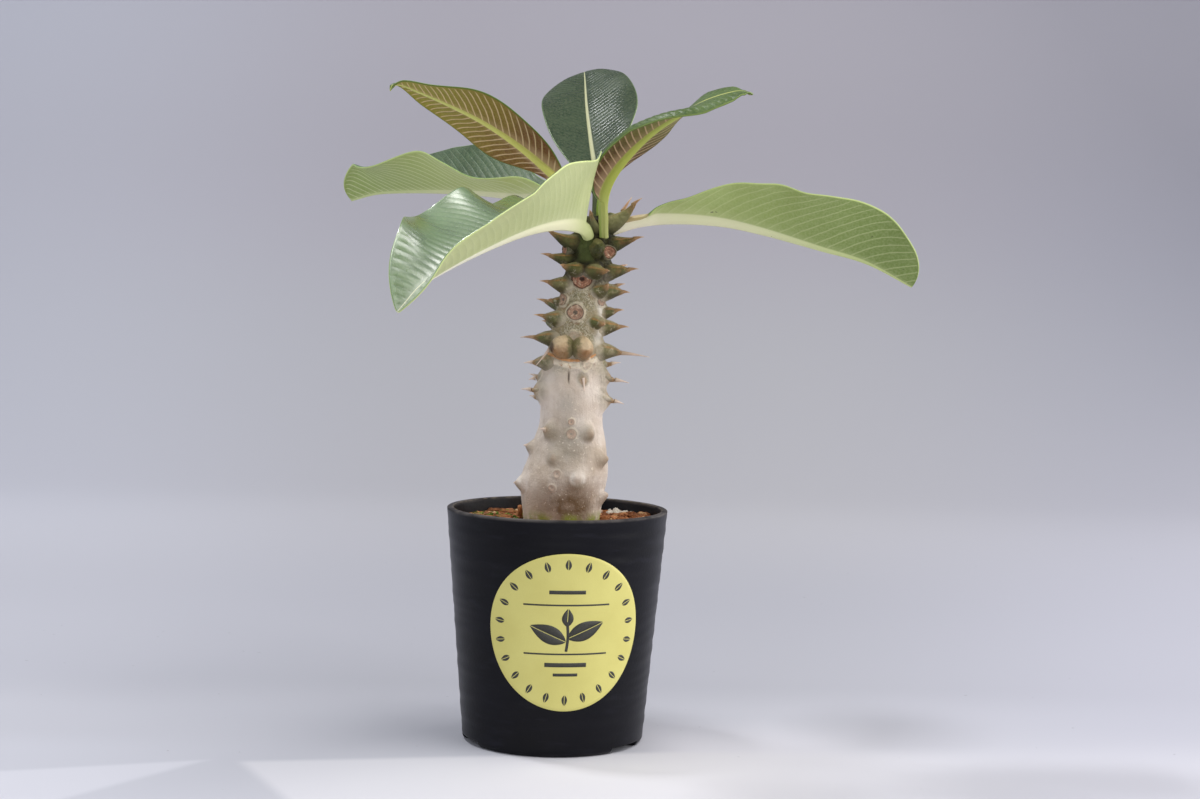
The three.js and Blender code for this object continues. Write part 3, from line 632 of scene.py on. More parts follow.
def silver_bark(w, mottle, height, cushion, streaks):
    """Smooth bark low on the stem: silver with clouds, streaks, stains, moss at its foot and pale warts,
    painted highlights on the warts' tops, painted shade under the warts and brown with painted shade on the
    low front.
    """
    silver = w.mix(mottle["Patches"], (230, 217, 204), (214, 197, 180))
    cloud = w.blotches((48, 5, 0.6), 0.44, 0.68, 0.0, 0.55)
    silver = w.mix(cloud, silver, (176, 154, 130))
    silver = w.mix(w.times(w.step(streaks, 0.5, 0.74), 0.3), silver, (190, 168, 146))
    drift = w.blotches((70, 4), 0.3, 0.66, 0.45, 1.0)
    silver = w.mix(w.times(w.value_of("grey_patch"), drift), silver, (128, 120, 104))
    # Brown low on the front: the bark's own brown, with painted shade where the bulge curves in below.
    brown = w.times(w.value_of("brown_shade_low"), w.blotches((90, 5, 0.65), 0.26, 0.6, 0.5, 1.0))
    highlit_wart_top = w.times(w.step(cushion, 0.2, 0.6), w.step(height, 105, 109))
    silver = w.mix(w.times(brown, w.less(1.0, highlit_wart_top)), silver, (106, 82, 56))
    moss = w.times(w.step(height, 92.5, 97.5, 1.0, 0.0), w.blotches((110, 4), 0.36, 0.6))
    silver = w.mix(moss, silver, (142, 150, 62))
    # Painted highlights on the tops of the warts on the bulge.
    silver = w.mix(w.times(highlit_wart_top, w.step(height, 114, 110, 0.0, 0.75)), silver, (242, 233, 221))
    flecks = w.blotches((900, 2), 0.64, 0.72)
    silver = w.mix(w.times(flecks, 0.5), silver, (240, 228, 208))
    worn = w.times(w.step(cushion, 0.15, 0.6), w.step(height, 112, 146, 0.0, 0.8))
    silver = w.mix(worn, silver, w.mix(w.blotches((260, 4), 0.4, 0.62), (150, 138, 118), (188, 176, 156)))
    shade = w.times(w.value_of("under"), w.blotches((210, 4), 0.3, 0.6, 0.35, 0.8))
    silver = w.mix(shade, silver, (126, 108, 80))
    return silver


def cork_bark(w, mottle, place):
    """Cracked pale cork higher up, and the grit, ridges and crust that its relief needs."""
    cork = w.mix(mottle["Patches"], (164, 152, 120), (138, 128, 96))
    grit = w.blotches((620, 4, 0.65), 0.42, 0.62)
    cork = w.mix(w.times(grit, 0.5), cork, (206, 192, 160))
    ridges = w.cracks(w.warped(place, 330, 0.009), 520, (1, 1, 0.7))
    crust = w.times(w.step(ridges, 0.03, 0.1, 0.9, 0.0), w.blotches((160, 3), 0.34, 0.55))
    cork = w.mix(w.blotches((110, 4), 0.5, 0.66, 0.0, 0.6), cork, (122, 118, 80))
    cork = w.mix(crust, cork, (224, 213, 190))
    cork = w.mix(w.times(w.blotches((210, 4), 0.56, 0.68), 0.7), cork, (150, 108, 72))
    bright = w.times(w.value_of("bright_cork"), w.blotches((190, 4), 0.3, 0.5, 0.75, 1.0))
    cork = w.mix(bright, cork, (250, 242, 228))
    return cork, grit, ridges, crust


def cushion_bark(w, mottle, place, height, horn_run, horn_side, sharp):
    """The horny cushions: olive, greener at the top, tan on the blunt pair, with painted light on their
    upper sides, painted shade on their lower sides and painted shade at their feet high up.
    """
    olive = w.mix(mottle["Patches"], (98, 104, 58), (132, 126, 82))
    olive = w.mix(w.blotches((240, 4), 0.46, 0.68), olive, (158, 146, 108))
    olive = w.mix(w.times(w.blotches((130, 3), 0.5, 0.64), 0.7), olive, (84, 72, 44))
    deep = w.mix(mottle["Patches"], (80, 88, 42), (112, 106, 58))
    deep = w.mix(w.blotches((260, 4), 0.5, 0.7), deep, (126, 98, 56))
    deep = w.mix(w.step(height, 208, 214, 0.0, 0.85), deep, (152, 150, 100))
    green_top = w.step(height, 183, 198)
    knob = w.mix(green_top, olive, deep)
    # Painted light on the cushions' upper sides and painted shade on their lower sides.
    lit_upper_side = w.mix(green_top, (196, 182, 146), (178, 170, 116))
    knob = w.mix(w.step(horn_side, 0.3, 0.95, 0.0, 0.65), knob, lit_upper_side)
    shaded_lower_side = w.mix(green_top, (84, 74, 46), (42, 42, 18))
    knob = w.mix(w.step(horn_side, -0.1, -0.8, 0.0, 0.62), knob, shaded_lower_side)
    off_ridge = w.math("ABSOLUTE", w.less(horn_side, 0.5))
    ridge = w.times(w.step(off_ridge, 0.05, 0.3, 1.0, 0.0), w.times(w.step(horn_run, 0.1, 0.5), sharp))
    knob = w.mix(w.times(ridge, w.blotches((340, 3), 0.3, 0.6, 0.4, 0.9)), knob, (184, 140, 84))
    flake = w.blotches((420, 4, 0.65), 0.56, 0.66)
    knob = w.mix(w.times(flake, w.step(height, 205, 186, 0.0, 0.6)), knob, (206, 194, 166))
    # Each cushion's foot: a cream collar low on the stem, and painted shade, near black, where it meets the
    # bark high up.
    foot = w.times(w.step(horn_run, 0.1, 0.4, 1.0, 0.0), w.step(horn_run, 0.0, 0.01))
    knob = w.mix(w.times(foot, 0.8), knob, w.mix(green_top, (222, 208, 182), (36, 32, 16)))
    # The blunt pair: tan with painted shade below and painted light above, and a green strip between them.
    tan = w.mix(w.step(horn_side, -0.7, 0.7), (164, 122, 80), (222, 196, 158))
    split = w.node("ShaderNodeSeparateXYZ")
    w.feed(split.inputs[0], place)
    off_middle = w.math("ABSOLUTE", w.less(split.outputs[0], (LIP_MIDDLE + 0.2) * MM))
    frayed = w.math("MULTIPLY_ADD", w.less(w.noise(place, 380, 4, 0.65), 0.5), 0.007, off_middle)
    tan = w.mix(w.step(frayed, 0.0036, 0.0008, 0.0, 0.85), tan, (116, 114, 68))
    knob = w.mix(w.times(w.value_of("blunt"), w.step(height, 196, 190)), knob, tan)
    knob = w.mix(w.step(height, 209, 216, 0.0, 0.6), knob, (156, 152, 104))
    return knob


def scar_bark(w, place, scar):
    """A leaf scar: red-brown, with darker hoops, rim and middle."""
    blotch = w.noise(place, 900, 3)
    colour = w.mix(w.step(blotch, 0.4, 0.62), (196, 144, 116), (154, 104, 80))
    hoops = w.math("SINE", w.plus(w.times(scar, 42), w.times(w.noise(place, 340, 3), 9)))
    colour = w.mix(w.step(hoops, 0.2, 0.9, 0.0, 0.5), colour, (112, 76, 56))
    collar = w.times(w.step(scar, 0.27, 0.35), w.step(scar, 0.38, 0.46, 1.0, 0.0))
    colour = w.mix(collar, colour, (96, 64, 46))
    colour = w.mix(w.step(scar, 0.76, 0.88), colour, (66, 42, 32))
    colour = w.mix(w.times(w.blotches((620, 4), 0.54, 0.66), 0.55), colour, (220, 196, 168))
    return colour


def bark_finish():
    """Silvery smooth bark low down, cracked pale cork and green cushions high up, red-brown leaf scars, and
    painted shade in the gaps about the cushions and in the slit.
    """
    finish, w, shader = new_finish("silvery_bark", 0.62, Specular_IOR_Level=0.28)
    place = w.place()
    mottle = w.mottle(0.012, 0.0008)
    height = w.height()
    cushion = w.value_of("cushion")
    scar = w.value_of("scar")
    horn_run = w.value_of("horn_run")
    horn_side = w.value_of("horn_side")
    sharp = w.less(1.0, w.value_of("blunt"))
    streaks = w.noise(place, 520, 4, 0.6, (1, 1, 0.14))
    silver = silver_bark(w, mottle, height, cushion, streaks)

    cork, grit, ridges, crust = cork_bark(w, mottle, place)
    knob = cushion_bark(w, mottle, place, height, horn_run, horn_side, sharp)
    ground = w.mix(w.step(height, 190, 200), cork, w.mix(mottle["Patches"], (66, 74, 34), (88, 84, 46)))
    # Painted shade in the gaps about the cushions, near black high up; lower down the same ring is beige.
    gap_shade_and_tone = w.times(w.value_of("gap"), w.blotches((300, 4), 0.3, 0.55, 0.3, 0.9))
    gap_shade_and_tone = w.times(gap_shade_and_tone, w.math("MULTIPLY_ADD", w.value_of("bright_cork"), -0.85, 1.0))
    ground = w.mix(gap_shade_and_tone, ground, w.mix(w.step(height, 184, 192), (176, 158, 124), (34, 30, 15)))
    young = w.mix(w.step(cushion, 0.1, 0.34), ground, knob)
    rise = w.plus(height, w.times(w.less(w.noise(place, 70, 3), 0.5), 20))
    on_horn = w.step(horn_run, 0.0, 0.02)
    # Worn horny bodies low down, with painted shade below and painted light above.
    old_horn = w.mix(w.step(horn_side, -0.6, 0.7), (122, 108, 84), (196, 182, 158))
    old_horn = w.mix(w.blotches((300, 4), 0.44, 0.62), old_horn, (150, 140, 108))
    old_horn = w.mix(w.step(height, 146, 150, 0.0, 0.6), old_horn, (110, 106, 74))
    silver = w.mix(w.times(on_horn, w.blotches((200, 4), 0.3, 0.6, 0.35, 0.9)), silver, old_horn)
    colour = w.mix(w.step(rise, 148, 164), silver, young)

    tipward = w.times(w.step(cushion, 0.55, 0.95), w.step(height, 120, 150, 0.2, 0.6))
    tipward = w.times(tipward, w.step(horn_run, 0.0, 0.01, 1.0, 0.0))
    tipward = w.plus(tipward, w.times(w.step(horn_run, 0.7, 1.0, 0.0, 0.85), sharp), clamp=True)
    colour = w.mix(tipward, colour, (164, 126, 84))
    on_lip = w.mix(w.blotches((420, 3), 0.3, 0.46), (190, 150, 112), (242, 228, 204))
    colour = w.mix(w.step(w.value_of("lower_lip"), 0.1, 0.5), colour, on_lip)
    colour = w.mix(w.step(w.value_of("upper_lip"), 0.1, 0.5), colour, (216, 158, 106))
    colour = w.mix(w.value_of("stalk_foot"), colour, w.mix(mottle["Patches"], (62, 74, 32), (78, 86, 40)))
    collar_rim = w.times(w.step(scar, 0.03, 0.14), w.blotches((500, 3), 0.35, 0.55, 0.3, 0.9))
    by_height = w.times(w.step(height, 120, 160, 0.2, 0.9), w.step(height, 188, 182, 0.25, 1.0))
    colour = w.mix(w.times(collar_rim, by_height), colour, (226, 212, 186))
    on_scar = w.step(scar, 0.26, 0.37)
    shown = w.times(on_scar, w.value_of("scar_fresh"))
    colour = w.mix(shown, colour, scar_bark(w, place, scar))
    # Painted shade inside the slit and in the hole at the end of the left blunt horn.
    colour = w.mix(w.times(w.value_of("slit"), 0.85), colour, (70, 54, 38))
    w.feed(shader.inputs["Base Color"], colour)

    crack_depth = w.times(w.step(ridges, 0.0, 0.12), w.step(height, 146, 168, 0.1, 0.6))
    relief = w.plus(w.times(streaks, 0.5), crack_depth)
    relief = w.plus(relief, w.times(grit, w.step(height, 140, 170, 0.1, 0.7)))
    relief = w.plus(relief, w.times(crust, w.step(height, 150, 170, 0.0, 0.9)))
    w.feed(shader.inputs["Normal"], w.bump(relief, 0.8, 0.0008))
    dull = w.step(mottle["Patches"], 0.0, 1.0, 0.46, 0.66)
    w.feed(shader.inputs["Roughness"], w.less(dull, w.times(w.value_of("blunt"), 0.2)))
    return finish


def needle_finish():
    """Spine tips: olive where they leave the bark, red-brown, then pale straw at the point."""
    finish, w, shader = new_finish("spine_horn", 0.4)
    mottle = w.mottle(0.004, 0.0005)
    run = w.value_of("needle_run")
    colour = w.mix(w.step(run, 0.0, 0.4), (156, 128, 84), (172, 130, 88))
    colour = w.mix(w.step(run, 0.5, 1.0), colour, (228, 194, 152))
    colour = w.mix(w.times(mottle["Patches"], 0.35), colour, (112, 78, 52))
    old = w.step(w.height(), 172, 154, 0.0, 0.85)
    colour = w.mix(old, colour, w.mix(w.step(run, 0.1, 0.5), (200, 178, 156), (226, 206, 190)))
    w.feed(shader.inputs["Base Color"], colour)
    w.feed(shader.inputs["Roughness"], w.step(mottle["Specks"], 0.0, 1.0, 0.34, 0.5))
    w.feed(shader.inputs["Normal"], w.bump(mottle["Specks"], 0.2, 0.0002))
    return finish


def crumb_finish(name, dark, light, odd, roughness=0.95):
    """Grains whose colour changes from one to the next."""
    finish, w, shader = new_finish(name, roughness, Specular_IOR_Level=0.2)
    mottle = w.mottle(0.003, 0.0005)
    tone = w.value_of("grain_tone")
    colour = w.mix(tone, dark, light)
    colour = w.mix(w.times(mottle["Patches"], 0.5), colour, dark)
    colour = w.mix(w.times(w.step(tone, 0.8, 0.9), 0.7), colour, odd)
    w.feed(shader.inputs["Base Color"], colour)
    w.feed(shader.inputs["Roughness"], w.step(mottle["Specks"], 0.0, 1.0, roughness - 0.1, roughness))
    w.feed(shader.inputs["Normal"], w.bump(w.plus(mottle["Specks"], mottle["Patches"]), 0.6, 0.0004))
    return finish


# Camera, lights, floor and backdrop

def set_camera():
    """The camera of the front view, turned by its pitch, yaw and roll."""
    pitch, yaw, roll = (math.radians(a) for a in (CAMERA_PITCH, CAMERA_YAW, CAMERA_ROLL))
    forward = np.array([math.sin(yaw) * math.cos(pitch), math.cos(yaw) * math.cos(pitch), -math.sin(pitch)])
    level = np.array([math.cos(yaw), -math.sin(yaw), 0])
    upright = np.cross(level, forward)
    right = math.cos(roll) * level + math.sin(roll) * upright
    top = -math.sin(roll) * level + math.cos(roll) * upright
    data = bpy.data.cameras.new("camera")
    data.lens = CAMERA_LENS
    data.sensor_width = 36
    data.sensor_fit = "HORIZONTAL"
    data.clip_start = 0.01
    camera = bpy.data.objects.new("camera", data)
    turn = Matrix([[right[k], top[k], -forward[k]] for k in range(3)]).to_4x4()
    camera.matrix_world = Matrix.Translation([v * MM for v in CAMERA_PLACE]) @ turn
    bpy.context.scene.collection.objects.link(camera)
    bpy.context.scene.camera = camera


def add_light(name, place, aim, size, watts, colour):
    """A soft rectangular light, in metres and watts."""
    data = bpy.data.lights.new(name, "AREA")
    data.shape = "RECTANGLE"
    data.size, data.size_y = size
    data.energy = watts
    data.color = colour
    light = bpy.data.objects.new(name, data)
    away = np.array(place, float) - np.array(aim, float)
    away = away / np.linalg.norm(away)
    side = unit(np.cross([0, 0, 1], away)) if abs(away[2]) < 0.99 else np.array([1.0, 0, 0])
    top = np.cross(away, side)
    turn = Matrix([[side[k], top[k], away[k]] for k in range(3)]).to_4x4()
    light.matrix_world = Matrix.Translation(place) @ turn
    bpy.context.scene.collection.objects.link(light)


def paper_finish():
    """Pale paper with soft tones across it that paint the light and shade: lighter at the left, darker at
    the right, and painted pools, patches and stripes of light on the floor.
    """
    finish, w, shader = new_finish("pale_paper", 0.9, Specular_IOR_Level=0.1)
    mottle = w.mottle(0.3, 0.004)
    split = w.node("ShaderNodeSeparateXYZ")
    w.feed(split.inputs[0], w.place())
    across, depth, height = split.outputs
    fan = w.math("DIVIDE", across, w.plus(depth, 0.83))
    # Painted light and shade: the tone changes from the front to the back and up the wall.
    far = w.step(depth, 0.3, 0.9)
    paper = w.mix(far, (168, 168, 175), (190, 189, 193))
    paper = w.mix(w.step(depth, 0.12, 0.04), paper, (183, 183, 190))
    paper = w.mix(w.step(height, 0.1, 0.3), paper, (186, 182, 189))
    paper = w.mix(w.step(height, 0.32, 0.55), paper, (193, 189, 196))
    # Painted light at the left, stronger towards the back.
    painted_light_left = w.times(w.step(fan, -0.03, -0.3), w.plus(0.32, w.times(far, 0.46)))
    painted_light_left = w.times(painted_light_left, w.step(height, 0.3, 0.55, 0.9, 1.2))
    middle_floor = w.times(w.step(depth, 0.12, 0.05), w.step(depth, -0.04, 0.0))
    painted_light_left = w.times(painted_light_left, w.math("MULTIPLY_ADD", middle_floor, -0.5, 1.0))
    paper = w.mix(painted_light_left, paper, (213, 214, 224))
    # Painted shade at the right.
    painted_shade_right = w.times(w.step(fan, 0.1, 0.32, 0.0, 0.7), w.step(height, 0.2, 0.5, 1.0, 0.4))
    paper = w.mix(painted_shade_right, paper, (179, 179, 190))
    # A painted pool of light on the floor in front of the pot, at its right.
    painted_glow = w.times(w.step(depth, 0.05, -0.02), w.step(across, 0.02, 0.06))
    painted_glow = w.times(painted_glow, w.step(across, 0.05, 0.18, 0.85, 0.15))
    painted_glow = w.times(painted_glow, w.step(depth, -0.05, -0.11, 1.0, 0.2))
    paper = w.mix(painted_glow, paper, (222, 220, 226))
    # A painted patch of window light on the floor.
    past_edge = w.less(depth, w.math("MULTIPLY_ADD", across, 0.175, -0.0315))
    softness = w.math("MULTIPLY_ADD", w.math("MAXIMUM", w.less(across, 0.05), 0.0), -0.25, -0.004)
    left_edge = w.math("MULTIPLY_ADD", depth, 0.466, across)
    painted_sun_patch = w.times(w.step(past_edge, 0.004, softness), w.step(left_edge, -0.15, -0.142))
    painted_sun_patch = w.times(painted_sun_patch, w.step(across, 0.05, 0.12, 0.9, 0.45))
    painted_sun_patch = w.times(painted_sun_patch, w.times(w.step(across, -0.03, 0.04, 0.6, 1.0), w.step(across, 0.1, 0.2, 1.0, 0.45)))
    paper = w.mix(painted_sun_patch, paper, (220, 218, 222))
    # A painted stripe of light on the floor.
    above_band = w.less(depth, w.math("MULTIPLY_ADD", across, 0.324, -0.0073))
    beside_band = w.math("MULTIPLY_ADD", depth, -0.661, across)
    painted_light_band = w.times(w.step(above_band, 0.003, -0.003), w.step(beside_band, -0.097, -0.105, 0.0, 0.4))
    paper = w.mix(painted_light_band, paper, (220, 219, 226))
    w.feed(shader.inputs["Roughness"], w.step(mottle["Patches"], 0.0, 1.0, 0.86, 0.94))
    # Painted light on the floor in front of the pot, softer than the pool and the patch that it lies over.
    off_pot = w.math("ABSOLUTE", w.less(across, 0.03))
    painted_light_front = w.times(w.step(depth, -0.045, -0.08), w.step(off_pot, 0.09, 0.03))
    paper = w.mix(w.times(painted_light_front, 0.6), paper, (204, 202, 207))
    specks = w.step(w.noise(w.place(), 260, 1), 0.79, 0.8)
    paper = w.mix(w.times(specks, w.step(height, 0.0, 0.01, 0.5, 0.0)), paper, (130, 128, 134))
    w.feed(shader.inputs["Base Color"], paper)
    return finish


def set_stage():
    """A pale floor that sweeps up into a wall behind."""
    profile = [(-2.5, 0.0), (SWEEP_START, 0.0)]
    for degrees in range(5, 91, 5):
        a = math.radians(degrees)
        profile.append((SWEEP_START + SWEEP_RADIUS * math.sin(a), SWEEP_RADIUS * (1 - math.cos(a))))
    profile.append((SWEEP_START + SWEEP_RADIUS, 3.2))
    points = [(x, y, z) for y, z in profile for x in (-SWEEP_HALF_WIDTH, SWEEP_HALF_WIDTH)]
    faces = [[2 * i, 2 * i + 1, 2 * i + 3, 2 * i + 2] for i in range(len(profile) - 1)]
    mesh = bpy.data.meshes.new("studio_sweep")
    mesh.from_pydata(points, [], faces)
    mesh.polygons.foreach_set("use_smooth", [True] * len(mesh.polygons))
    mesh.materials.append(paper_finish())
    sweep = bpy.data.objects.new("studio_sweep", mesh)
    bpy.context.scene.collection.objects.link(sweep)


def set_light():
    """A soft cool room with a key from the right and from above, and fills."""
    bpy.context.scene.view_settings.view_transform = "Standard"
    world = bpy.data.worlds.new("soft_room")
    world.use_nodes = True
    background = world.node_tree.nodes["Background"]
    background.inputs[0].default_value = (0.88, 0.92, 1.0, 1)
    background.inputs[1].default_value = 0.5
    bpy.context.scene.world = world
    add_light("right_back", (1.15, 0.5, 0.6), (0, 0, 0.15), (0.9, 0.9), 7.5, (1, 0.98, 0.96))
    add_light("right_side", (1.2, -0.45, 0.35), (0, 0, 0.2), (0.8, 0.6), 5.2, (1, 0.98, 0.96))
    add_light("key", (0.5, -0.35, 1.2), (0, 0, 0.18), (0.8, 0.7), 8.2, (1, 0.98, 0.96))
    add_light("front_low", (0.1, -1.15, 0.06), (0, 0, 0.24), (1.2, 0.3), 1.8, (1, 1, 1))
    add_light("top_left", (-0.5, 0.2, 1.3), (0, 0, 0.2), (0.16, 0.16), 6.5, (0.97, 0.98, 1))
    add_light("left_fill", (-1.15, -0.2, 0.6), (0, 0, 0.15), (0.9, 0.9), 2.5, (0.93, 0.96, 1))


# Pot

def wall_radius(z):
    """Outer radius of the pot's tapered wall at this height."""
    return FOOT_RADIUS + (RIM_RADIUS - FOOT_RADIUS) * np.asarray(z, float) / POT_HEIGHT


def make_pot():
    """The moulded pot, turned, with the faint waves of its wall, its drain notches and its drain holes."""
    def arc(centre, radius, start, end, steps):
        turn = np.radians(np.linspace(start, end, steps))
        return [(centre[0] + radius * math.cos(a), centre[1] + radius * math.sin(a)) for a in turn]

    side = float(wall_radius(EDGE_ROUND))
    profile = [(0.01, 0), (6, 0), (CENTRE_PAD_RADIUS - 0.3, 0), (CENTRE_PAD_RADIUS, 0.1),
               (CENTRE_PAD_RADIUS + 1.5, BASE_RECESS), (22, BASE_RECESS), (FOOT_RING_INNER, BASE_RECESS),
               (FOOT_RING_INNER + 1.0, 0.15), (FOOT_RING_INNER + 1.3, 0), (side - EDGE_ROUND, 0)]
    profile += arc((side - EDGE_ROUND, EDGE_ROUND), EDGE_ROUND, -80, 0, 8)
    outer_start = len(profile)
    heights = np.linspace(EDGE_ROUND + 0.8, POT_HEIGHT - 0.9, POT_ROWS)
    profile += [(float(wall_radius(z)), float(z)) for z in heights]
    outer_end = len(profile)
    profile += arc((RIM_RADIUS - 0.6, POT_HEIGHT - 0.6), 0.6, 10, 90, 5)
    profile += [(RIM_RADIUS - 1.2, POT_HEIGHT), (RIM_RADIUS - WALL + 0.9, POT_HEIGHT)]
    lip_start = len(profile)
    profile += arc((RIM_RADIUS - WALL + 0.4, POT_HEIGHT - 0.4), 0.4, 90, 180, 5)
    lip_end = len(profile)
    for z in np.linspace(POT_HEIGHT - 1.2, FLOOR + 2, 24):
        profile.append((float(wall_radius(z)) - WALL, float(z)))
    profile += [(float(wall_radius(FLOOR)) - WALL - 2, FLOOR), (DRAIN_CIRCLE, FLOOR), (0.01, FLOOR)]
    profile = np.array(profile)

    edges = [c + s * NOTCH_ANGLE / 2 + d for c in NOTCH_CENTRES for s in (-1, 1) for d in (-0.35, 0, 0.35)]
    even = np.linspace(-180, 180, POT_COLUMNS, endpoint=False)
    angles = np.radians(np.unique(np.round(np.concatenate([even, edges]), 3)))
    radius = np.repeat(profile[:, :1], len(angles), 1)
    z = np.repeat(profile[:, 1:], len(angles), 1)
    rows = np.repeat(np.arange(len(profile))[:, None], len(angles), 1)
    on_wall = (rows >= outer_start) & (rows < outer_end)
    where = np.stack([np.cos(angles)[None] * 14 + 0 * z, np.sin(angles)[None] * 14 + 0 * z, z], -1)
    drift = lumps(where, 16, 3) * WAVE_DRIFT
    (high, long), (fine_high, fine_long) = WAVES
    waves = high * np.sin((z + drift) * 2 * np.pi / long)
    waves = waves + fine_high * np.sin((z - drift) * 2 * np.pi / fine_long)
    radius = radius + np.where(on_wall, waves * smooth((POT_HEIGHT - z) / 8) * smooth(z / 8), 0)
    radius = radius + OVALNESS * np.sin(2 * angles + 0.7)[None] * smooth(z / POT_HEIGHT) * (radius > 30)
    in_notch = np.zeros(len(angles))
    for centre in NOTCH_CENTRES:
        off = np.abs((np.degrees(angles) - centre + 180) % 360 - 180)
        in_notch = np.maximum(in_notch, 1 - smooth((off - NOTCH_ANGLE / 2 + 0.2) / 0.4))
    low_edge = (rows < outer_start + 1) & (profile[:, :1] > FOOT_RING_INNER - 1)
    z = np.where(low_edge, np.maximum(z, NOTCH_HEIGHT * in_notch[None]), z)
    points = np.stack([radius * np.cos(angles), radius * np.sin(angles), z], -1)
    inside = rows >= lip_end
    lip = (rows >= lip_start) & (rows < lip_end - 1)

    points, faces = tube(points)
    values = {"inside": np.append(inside.ravel(), [0, 1]), "inner_lip": np.append(lip.ravel(), [0, 0])}
    pot = add_piece("nursery_pot", points, faces, [pot_finish()], values, ["pot"], "pot_plastic")
    cut_drain_holes(pot)


def cut_drain_holes(pot):
    """The round holes through the pot's floor."""
    shapes = []
    for i in range(DRAIN_HOLES):
        a = math.radians((i + 0.5) * 360 / DRAIN_HOLES)
        turn = np.linspace(0, 2 * np.pi, 28, endpoint=False)
        ring = np.stack([DRAIN_CIRCLE * math.cos(a) + DRAIN_HOLE_RADIUS * np.cos(turn),
                         DRAIN_CIRCLE * math.sin(a) + DRAIN_HOLE_RADIUS * np.sin(turn), 0 * turn], -1)
        shapes.append(tube([ring + (0, 0, -3), ring + (0, 0, 6)]))
    points, faces = join(shapes)
    mesh = bpy.data.meshes.new("drain_cutter")
    mesh.from_pydata((points * MM).tolist(), [], faces)
    cutter = bpy.data.objects.new("drain_cutter", mesh)
    bpy.context.scene.collection.objects.link(cutter)
    step = pot.modifiers.new("drain_holes", "BOOLEAN")
    step.object = cutter
    step.solver = "EXACT"
    seen = bpy.context.evaluated_depsgraph_get()
    cut = bpy.data.meshes.new_from_object(pot.evaluated_get(seen))
    pot.modifiers.clear()
    pot.data = cut
    bpy.data.objects.remove(cutter)


# Label

def on_label(x, z, lift):
    """A point of the label's flat drawing, x and z from its middle, bent onto the pot's wall."""
    height = LABEL_CENTRE_Z + z
    r = wall_radius(height) + lift
    angle = np.radians(LABEL_AZIMUTH) + x / wall_radius(LABEL_CENTRE_Z)
    return np.stack([r * np.cos(angle), r * np.sin(angle), height + 0 * r], -1)


def make_label(low=0.16, high=0.55):
    """The round label as a thin closed disc bent onto the wall."""
    sides = 144
    turn = np.linspace(0, 2 * np.pi, sides, endpoint=False)
    radii = np.linspace(0.4, LABEL_RADIUS - 0.1, 26)
    face = [on_label(r * np.cos(turn), r * np.sin(turn), high) for r in radii]
    edge = [on_label(LABEL_RADIUS * np.cos(turn), LABEL_RADIUS * np.sin(turn), high - 0.1)]
    back = [on_label(r * np.cos(turn), r * np.sin(turn), low) for r in radii[::-1]]
    points, faces = tube(np.array(face + edge + back))
    add_piece("round_label", points, faces, [label_finish()], None, ["label"], "label_film")


def ribbon(left, right, low, high):
    """A thin printed shape between two edges drawn on the label, as a closed sheet."""
    left = np.asarray(left, float)
    right = np.asarray(right, float)
    rings = []
    for (x0, z0), (x1, z1) in zip(left, right):
        lift = np.array([high, high, low, low])
        rings.append(on_label(np.array([x0, x1, x1, x0]), np.array([z0, z1, z1, z0]), lift))
    return tube(np.array(rings))


def stroke(path, width, low, high):
    """A printed line of one width along a path."""
    path = np.asarray(path, float)
    ahead = np.gradient(path, axis=0)
    side = unit(np.stack([-ahead[:, 1], ahead[:, 0]], -1)) * width / 2
    return ribbon(path + side, path - side, low, high)


def leaf_mark(foot, angle, length, width, low, high):
    """A pointed leaf drawn as two halves with a bare line for its midrib."""
    t = np.linspace(0.0, 1.0, 22)
    ahead = np.array([math.cos(angle), math.sin(angle)])
    across = np.array([-ahead[1], ahead[0]])
    spine = np.array(foot) + np.outer(t * length, ahead)
    shape = width * np.sin(np.pi * t ** 0.85) ** 0.9 + 0.16
    return [ribbon(spine + np.outer(shape, across), spine + 0.14 * across, low, high),
            ribbon(spine - 0.14 * across, spine - np.outer(shape, across), low, high)]


def make_label_print(low=0.5, high=0.6):
    """A plain sprout between two lines, with bars over and under it and a hoop of small leaves around."""
    shapes = []
    for k in range(HOOP_LEAVES):
        angle = 2 * np.pi * k / HOOP_LEAVES + np.pi / 2
        foot = (HOOP_RADIUS * math.cos(angle), HOOP_RADIUS * math.sin(angle))
        shapes += leaf_mark(foot, angle, 4.2, 1.0, low, high)
    stem = [(0.6 * math.sin(t * 3), -7.5 + 12 * t) for t in np.linspace(0, 1, 16)]
    shapes.append(stroke(stem, 1.1, low, high))
    shapes += leaf_mark((0.5, -2.2), math.radians(24), 15.5, 3.5, low, high)
    shapes += leaf_mark((-0.2, -3.6), math.radians(156), 15.5, 3.5, low, high)
    shapes += leaf_mark((0.2, 2.6), math.radians(88), 7.2, 2.1, low, high)
    for level, half, thick in PRINT_BARS:
        line = [(x, level) for x in np.linspace(-half, half, 24)]
        shapes.append(stroke(line, thick, low, high))
    points, faces = join(shapes)
    add_piece("label_print", points, faces, [ink_finish()], None, (), "label_film")


# Soil

def soil_height(x, y):
    """The gently uneven top of the soil, a little higher at the right."""
    lumpy = np.sin(x * 0.31 + 1.3) * np.cos(y * 0.27 - 0.4) + 0.6 * np.sin(x * 0.13 - y * 0.19)
    return SOIL_LEVEL + 0.55 * lumpy + 1.1 * smooth((x - 18) / 20)


